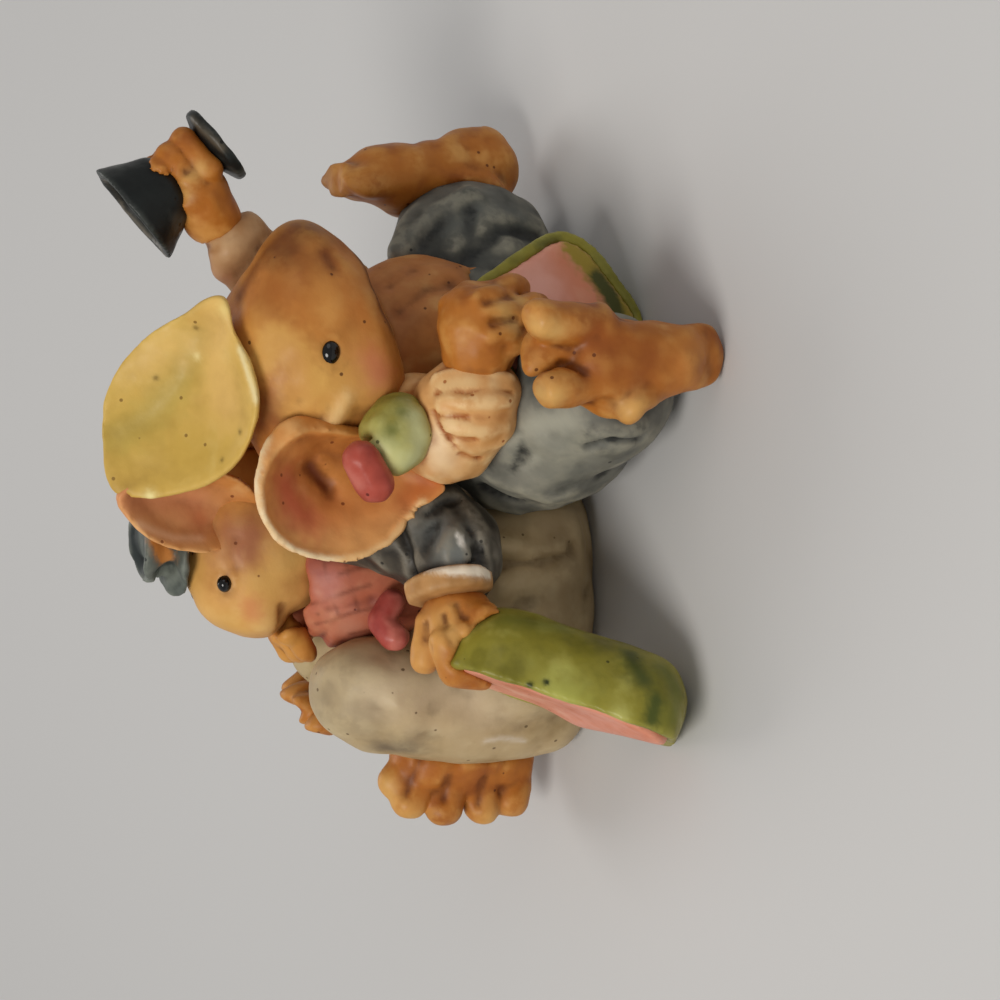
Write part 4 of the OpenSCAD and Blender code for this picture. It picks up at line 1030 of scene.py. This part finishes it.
CLOTH_DABS["plaid_shirt"] = (
    (1.8, "d49a80", 0.5, (350, 352), (372, 348)),
    (1.8, "c27c72", 0.5, (404, 332), (420, 330)),
    (*PLAID_LINE, 0.55, (358, 320), (366, 350), (372, 380)),
    (*PLAID_LINE, 0.55, (376, 316), (386, 348), (393, 378)),
    (*PLAID_LINE, 0.55, (396, 312), (407, 344), (415, 370)),
    (*PLAID_LINE, 0.55, (415, 308), (426, 340), (433, 362)),
    (*PLAID_LINE, 0.5, (344, 346), (386, 338), (436, 324)),
    (*PLAID_LINE, 0.5, (346, 366), (390, 358), (436, 346)),
    (*PLAID_LINE, 0.5, (350, 326), (386, 318), (430, 306)),
)
CLOTH_DABS["raised_sleeve"] = (
    (2.6, "b4926c", 0.7, (735, 240), (750, 246)),
    (1.4, "d8a080", 0.5, (722, 220)),
)
CLOTH_DABS["pleated_sleeve"] = (
    (2.0, "f0dcb8", 0.5, (540, 440), (560, 436)),
    (1.0, "e6c690", 0.6, (612, 440), (618, 470)),
)
CLOTH_DABS["jacket_sleeve"] = (
    (2.0, "8b9290", 0.5, (440, 460), (470, 440)),
    (0.3, "f4efe6", 3.0, (456, 463), (464, 459)),
)
CLOTH_DABS["pale_cuff"] = (
    (0.5, "f0e2cc", 2.0, (426, 410), (430, 430), (431, 450), (430, 470), (427, 488)),
)
work(dab, CLOTH_DABS)

# %% [markdown]
# Cap, hat, knot and bow are the bright spots. The cap has a painted highlight on its left rim and a pale
# line along the rest of the rim, painted shade on its left side and in its valley, painted light on its
# lower part, and a few dark specks, where air was trapped in the casting. The knot and the bow each carry
# a painted highlight. Pits by chance come with the paint, but these have places of their own.

# %% Dabs on cap, hat, knot and bow
HAT_DABS = {}
HAT_DABS["yellow_cap"] = (
    # painted shade on the left side of the cap, and along its valley in the next dab
    (3.0, "b8963e", 0.5, (540, 160), (548, 190), (556, 214)),
    (2.2, "a99a48", 0.5, (565, 118), (585, 150), (620, 180), (660, 196)),
    # painted light on the lower part of the cap
    (3.0, "e9bd74", 0.6, (600, 225), (650, 215), (680, 220)),
    (2.2, "e6bf72", 0.5, (640, 150), (660, 180)),
    # painted highlight on the left rim
    (0.7, "f2e4a0", 0.8, (505, 112), (503, 150), (510, 200), (524, 232)),
    (0.45, "f3e9ba", 0.55, (530, 236), (560, 252), (600, 256), (650, 240)),
    (0.9, "efd98c", 0.5, (690, 224), (706, 222)),
    (0.3, "6a5420", 0.85, (622, 156)),
    (0.28, "6a5420", 0.85, (672, 196)),
    (0.45, "f6e2a0", 0.7, (644, 197)),
    (0.28, "6a5420", 0.85, (568, 240)),
    (0.25, "6a5420", 0.8, (540, 222)),
)
HAT_DABS["slate_hat"] = (
    (1.2, "2a3030", 1.2, (428, 142), (445, 136), (466, 132)),
    (1.4, "84897c", 0.7, (426, 160), (432, 174)),
    (0.7, "c07c3a", 2.0, (442, 166), (452, 160), (462, 156)),
)
HAT_DABS["green_knot"] = (
    # painted highlight on the knot
    (1.8, "d2d294", 0.7, (540, 396), (552, 384)),
    (1.4, "c8cc9c", 0.7, (540, 414), (562, 420), (584, 414)),
    (0.8, "5a6124", 0.7, (570, 392)),
    (0.8, "5a6124", 0.6, (588, 402)),
)
HAT_DABS["rose_bow"] = (
    # painted highlight on the bow's upper left edge
    (0.8, "cc7c6e", 0.6, (516, 358), (530, 346)),
)
work(dab, HAT_DABS)

# %% [markdown]
# Finger tips and toes are touched with a pale ochre, and umber lies between the toes. The melon's rind has
# dark and light patches, and its flesh turns green at the end; the front flesh is paler at the top and
# deeper salmon below, which is painted light and shade. The goblet's rim is lighter, partly rubbed bare
# and partly a painted reflection. One even colour a piece would look flat, and small dabs keep uneven
# edges.

# %% Dabs on paws, melon and goblet
TIP = "d9b06a"
PAW_DABS = {}
PAW_DABS["near_paw"] = (
    (2.6, "b87a38", 0.4, (648, 462), (668, 462)),
    (1.2, TIP, 0.7, (690, 505), (676, 512)),
    (1.0, TIP, 0.6, (700, 520)),
)
PAW_DABS["near_foot"] = (
    (1.4, TIP, 0.75, (606, 540), (604, 556)),
    (1.4, TIP, 0.75, (672, 536), (668, 556)),
    (1.6, TIP, 0.7, (588, 625), (592, 636)),
    (3.2, "8a4a1c", 0.65, (640, 600), (644, 650)),
    (2.4, "c07c3c", 0.7, (634, 690), (652, 696)),
)
PAW_DABS["side_foot"] = (
    (1.4, TIP, 0.65, (200, 390), (216, 386)),
    (1.4, TIP, 0.65, (182, 412)),
    (1.3, TIP, 0.65, (172, 442)),
    (1.6, TIP, 0.6, (180, 492)),
    (2.6, "b0682c", 0.4, (224, 440), (226, 470)),
    *[(0.7, UMBER, 0.3, *line) for line in GROOVES["side_foot"]],
)
PAW_DABS["slice_paw"] = (
    (2.4, "d2a05c", 0.65, (340, 424), (358, 430), (376, 432)),
    (1.0, TIP, 0.5, (362, 456), (370, 452)),
    (1.4, TIP, 0.5, (360, 410), (376, 412)),
    (1.0, TIP, 0.5, (352, 480)),
)
PAW_DABS["chin_paw"] = (
    (2.4, "d8a050", 0.6, (346, 282), (360, 290)),
)
PAW_DABS["goblet_paw"] = (
    (0.9, TIP, 0.55, (800, 176), (806, 186)),
    (0.9, TIP, 0.55, (824, 190), (832, 200)),
)
PAW_DABS["rear_rind"] = (
    (0.9, "4c5420", 1.1, (262, 640), (280, 652), (300, 656)),
    (1.2, "4a5020", 1.0, (320, 644), (336, 634), (346, 630)),
    (1.4, "5c6426", 0.6, (280, 672), (310, 676), (330, 664)),
    (1.0, "c9c878", 0.5, (296, 520), (290, 570), (284, 620)),
    (1.4, "5c6426", 0.5, (380, 500), (372, 560), (360, 620)),
    (2.6, "b4b85e", 0.6, (300, 560), (312, 500)),
    (1.6, "8b8a3a", 0.4, (310, 470)),
    (0.3, "33380f", 2.0, (312, 501)),
    (0.3, "33380f", 2.0, (315, 530)),
    (0.3, "33380f", 2.0, (318, 546)),
)
PAW_DABS["front_rind"] = (
    (0.9, "5a5820", 0.9, (744, 510), (756, 540), (758, 556)),
    (0.9, "6c6a26", 0.8, (690, 634), (716, 622), (742, 600)),
)
PAW_DABS["front_flesh"] = (
    # painted highlight at the top of the flesh, and painted shade lower down in the next dab
    (3.4, "f0b4a4", 0.8, (700, 520), (716, 540)),
    (2.2, "d9835c", 0.6, (690, 590), (712, 584), (736, 566)),
    (1.3, "a08a34", 3.0, (686, 626), (706, 616), (730, 598), (754, 576)),
    (0.8, "4a4c22", 2.0, (690, 616), (706, 610), (722, 598)),
)
PAW_DABS["goblet_cup"] = (
    # wear and painted reflection along the rim
    (0.3, "6c655a", 0.9, (744, 166), (766, 146), (790, 124), (820, 104)),
    (0.5, "6a6050", 0.6, (852, 222), (866, 206), (880, 192)),
)
work(dab, PAW_DABS)

# %% [markdown]
# Paints are mixed in Blender's shader nodes. A few small tools keep the recipe readable: one lays a colour
# over another, one spreads a value over a range, and one gives a noise with patches of a known size.

# %% Mixing tools
PATCH_SIZE = 4.5
PATCH_DETAIL = 3.0
FINE_SIZE = 1.26
FINE_DETAIL = 5.0
GRAIN_SIZE = 0.9
GRAIN_DETAIL = 4.0


def joined(tree, value, socket):
    """Links an output to a socket, or sets the socket to a plain value."""
    if isinstance(value, bpy.types.NodeSocket):
        tree.links.new(value, socket)
    else:
        socket.default_value = value


def laid_over(tree, amount, under, over):
    """A colour laid over another by an amount."""
    node = tree.nodes.new("ShaderNodeMix")
    node.data_type = "RGBA"
    joined(tree, amount, node.inputs[0])
    joined(tree, under, node.inputs[6])
    joined(tree, over, node.inputs[7])
    return node.outputs[2]


def times(tree, a, b):
    """The product of two values."""
    node = tree.nodes.new("ShaderNodeMath")
    node.operation = "MULTIPLY"
    joined(tree, a, node.inputs[0])
    joined(tree, b, node.inputs[1])
    return node.outputs[0]


def ranged(tree, value, low, high, first=0.0, last=1.0):
    """A value spread from one range over another, with soft ends."""
    node = tree.nodes.new("ShaderNodeMapRange")
    node.interpolation_type = "SMOOTHSTEP"
    joined(tree, value, node.inputs["Value"])
    for key, level in zip(("From Min", "From Max", "To Min", "To Max"), (low, high, first, last)):
        node.inputs[key].default_value = level
    return node.outputs["Result"]


def patches(tree, place, size, detail):
    """Noise with patches of about a size in mm."""
    node = tree.nodes.new("ShaderNodeTexNoise")
    node.inputs["Scale"].default_value = 1 / (size * MM)
    node.inputs["Detail"].default_value = detail
    tree.links.new(place, node.inputs["Vector"])
    return node.outputs["Fac"]


def layer_value(tree, name):
    """A number kept with the piece."""
    node = tree.nodes.new("ShaderNodeAttribute")
    node.attribute_name = name
    return node


def opaque(code):
    """A paint with full cover."""
    return (*colour(code), 1.0)


print("patch sizes in mm:", PATCH_SIZE, FINE_SIZE, GRAIN_SIZE)

# %% [markdown]
# One recipe mixes every paint of the figure. Two noises give the base its soft patches, the dabs come
# next, then the wash with its painted shade and the dry brush, and small pits show the dark stain that
# collects in a casting's air holes. The varnish is thin, so the shader is only a little glossy.

# %% Paint recipe
BROAD_SHADE = (0.46, 0.72)
BROAD_LIGHT = (0.46, 0.26, 0.0, 0.7)
FINE_SHADE = (0.52, 0.78, 0.0, 0.25)
WASH_GRAIN = (0.3, 0.7, 0.55)
RUB_GRAIN = (0.35, 0.6, 0.3)
PIT_STEP = 2.0
PIT_EDGE = (0.115, 0.075)
PIT_SHARE = 0.55
PIT_BLUR = 0.02
PIT_STAIN = 0.8
GLOSS_NOISE = (0.3, 0.7)
GLOSS_SPREAD = (-0.05, 0.1)
VARNISH = {"Specular IOR Level": 0.22, "Coat Weight": 0.04, "Coat Roughness": 0.28}
RELIEF_STRENGTH = 0.35
RELIEF_HEIGHT = 0.12


def base_coat(tree, broad, fine, base, dark, light):
    """The base colour with its soft patches, under the dabs that the piece carries."""
    look = laid_over(tree, ranged(tree, broad, *BROAD_SHADE), opaque(base), opaque(dark))
    look = laid_over(tree, ranged(tree, broad, *BROAD_LIGHT), look, opaque(light))
    look = laid_over(tree, ranged(tree, fine, *FINE_SHADE), look, opaque(dark))
    dabs = layer_value(tree, "paint")
    return laid_over(tree, dabs.outputs["Alpha"], look, dabs.outputs["Color"])


def brushed(tree, look, layer, fine, grain, cover, code):
    """A coat with more colour where a layer of the piece is high, broken up by a grain."""
    low, high, least = grain
    broken = ranged(tree, fine, low, high, least * cover, cover)
    amount = times(tree, layer_value(tree, layer).outputs["Fac"], broken)
    return laid_over(tree, amount, look, opaque(code))


def air_holes(tree, place, share):
    """Small round pits on a share of the cells of a foam."""
    foam = tree.nodes.new("ShaderNodeTexVoronoi")
    foam.inputs["Scale"].default_value = 1 / (PIT_STEP * MM)
    tree.links.new(place, foam.inputs["Vector"])
    cell = tree.nodes.new("ShaderNodeSeparateColor")
    tree.links.new(foam.outputs["Color"], cell.inputs["Color"])
    chosen = ranged(tree, cell.outputs["Red"], 1 - share, 1 - share + PIT_BLUR)
    return times(tree, chosen, ranged(tree, foam.outputs["Distance"], *PIT_EDGE))


def relief(tree, place, holes, shader):
    """The fine grain of the paint and the pits in it, as a bump."""
    height = tree.nodes.new("ShaderNodeMath")
    height.operation = "SUBTRACT"
    tree.links.new(patches(tree, place, GRAIN_SIZE, GRAIN_DETAIL), height.inputs[0])
    tree.links.new(holes, height.inputs[1])
    bump = tree.nodes.new("ShaderNodeBump")
    bump.inputs["Strength"].default_value = RELIEF_STRENGTH
    bump.inputs["Distance"].default_value = RELIEF_HEIGHT * MM
    tree.links.new(height.outputs[0], bump.inputs["Height"])
    tree.links.new(bump.outputs["Normal"], shader.inputs["Normal"])


def paint(name, base, dark, light, wash, gloss, wash_cover, rub_cover, pits=PIT_SHARE):
    """A painted resin: base, shade, highlight, and a crease wash that also lays painted shade."""
    material = bpy.data.materials.new(name)
    material.use_nodes = True
    tree = material.node_tree
    shader = tree.nodes["Principled BSDF"]
    place = tree.nodes.new("ShaderNodeTexCoord").outputs["Object"]
    fine = patches(tree, place, FINE_SIZE, FINE_DETAIL)
    look = base_coat(tree, patches(tree, place, PATCH_SIZE, PATCH_DETAIL), fine, base, dark, light)
    # wash colour in creases, and painted shade in hollows and near other pieces
    look = brushed(tree, look, "wash", fine, WASH_GRAIN, wash_cover, wash)
    look = brushed(tree, look, "rub", fine, RUB_GRAIN, rub_cover, light)
    holes = air_holes(tree, place, pits)
    look = laid_over(tree, times(tree, holes, PIT_STAIN), look, opaque(wash))
    tree.links.new(look, shader.inputs["Base Color"])
    roughness = ranged(tree, fine, *GLOSS_NOISE, *[gloss + more for more in GLOSS_SPREAD])
    tree.links.new(roughness, shader.inputs["Roughness"])
    for key, level in VARNISH.items():
        shader.inputs[key].default_value = level
    relief(tree, place, holes, shader)
    return material


print("varnish:", VARNISH)

# %% [markdown]
# Every finish of the figure is one row: base, shade, highlight and wash colour, then the roughness and
# the cover of the wash and of the dry brush. The wash colour also lays the painted shade. The eyes have
# the same paint, but black and smooth, with no pits and under a clear glaze.

# %% Paints of the figure
PAINTS = {
    "slate_cloth": ("6a6961", "43443f", "a8a390", "1f2020", 0.54, 0.9, 0.45),
    "tan_cloth": ("b0703c", "965a2e", "c8945a", "4a240c", 0.52, 0.75, 0.35),
    "pleated_cloth": ("d8a266", "c4884a", "f0d09a", "9c531e", 0.46, 0.95, 0.6),
    "pale_cloth": ("aa7a4c", "8c5c34", "cda97e", "5c3014", 0.5, 0.75, 0.35),
    "paw": ("b06a26", "924e1a", "d8a056", "542408", 0.46, 0.75, 0.45),
    "front_fur": ("ba7734", "9c5c24", "d6a158", "4a210d", 0.46, 0.75, 0.35),
    "rear_fur": ("d29c58", "bd8446", "e6be7c", "6c3413", 0.46, 0.5, 0.4),
    "ear": ("cc8642", "b26c30", "e4b272", "74361a", 0.46, 0.45, 0.5),
    "cap": ("cfaa54", "bb9644", "e0c274", "7a5a22", 0.46, 0.4, 0.2),
    "kerchief": ("9a9040", "78742a", "beb66c", "3c3e14", 0.36, 0.7, 0.45),
    "bow": ("ae4c3e", "903a30", "cc7868", "551f18", 0.34, 0.7, 0.3),
    "goblet": ("191d1c", "0f1111", "4e524d", "070808", 0.36, 0.7, 0.45),
    "rind": ("8e8630", "706a20", "b0aa54", "343610", 0.36, 0.7, 0.4),
    "flesh": ("dc9076", "cc7a5c", "e8b29a", "8a3f2c", 0.4, 0.5, 0.3),
    "beige_cloth": ("b8a078", "9e865e", "ceba92", "5e4a30", 0.54, 0.65, 0.35),
    "plaid_cloth": ("b8684c", "9c5040", "cc8a66", "5c2522", 0.48, 0.7, 0.4),
    "jacket": ("4c463c", "2e2a25", "8a8374", "171513", 0.46, 0.85, 0.6),
    "tie": ("a8473f", "87332f", "cc7868", "4e1a17", 0.38, 0.7, 0.4),
    "cuff": ("be8e58", "a47644", "dcb888", "642f12", 0.44, 0.7, 0.4),
    "hat": ("565c56", "2e3431", "8c9084", "171b1a", 0.5, 0.85, 0.55),
    "eye": ("0c0b0b", "060505", "1a1614", "050404", 0.12, 0.0, 0.0, 0.0),
}
EYE_GLAZE = {"Coat Weight": 0.5, "Coat Roughness": 0.04}

MATERIALS = {slot: paint(slot, *recipe) for slot, recipe in PAINTS.items()}
for key, level in EYE_GLAZE.items():
    MATERIALS["eye"].node_tree.nodes["Principled BSDF"].inputs[key].default_value = level
print("paints:", ", ".join(MATERIALS))

# %% [markdown]
# At the end every piece goes back to metres, takes the paint that the frame's record names for its node,
# and rides on the root body, while the frame's node that it stands for is hidden.

# %% Set the pieces down
SLOT_OF = {row["node"]: row["material_slot"] for row in frame["record"]["subparts"]}

for piece in PIECES.values():
    node = piece["stands_for"]
    del piece["stands_for"]
    piece.data.transform(Matrix.Scale(MM, 4))
    piece.data.shade_smooth()
    piece.data.materials.clear()
    piece.data.materials.append(MATERIALS[SLOT_OF[node]])
    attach(piece, "root")
    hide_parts(node)

low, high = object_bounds()
print("visual box in mm:", [round(v / MM, 1) for v in (*low, *high)])
print("triangles:", sum(len(face.vertices) - 2 for p in PIECES.values() for face in p.data.polygons))
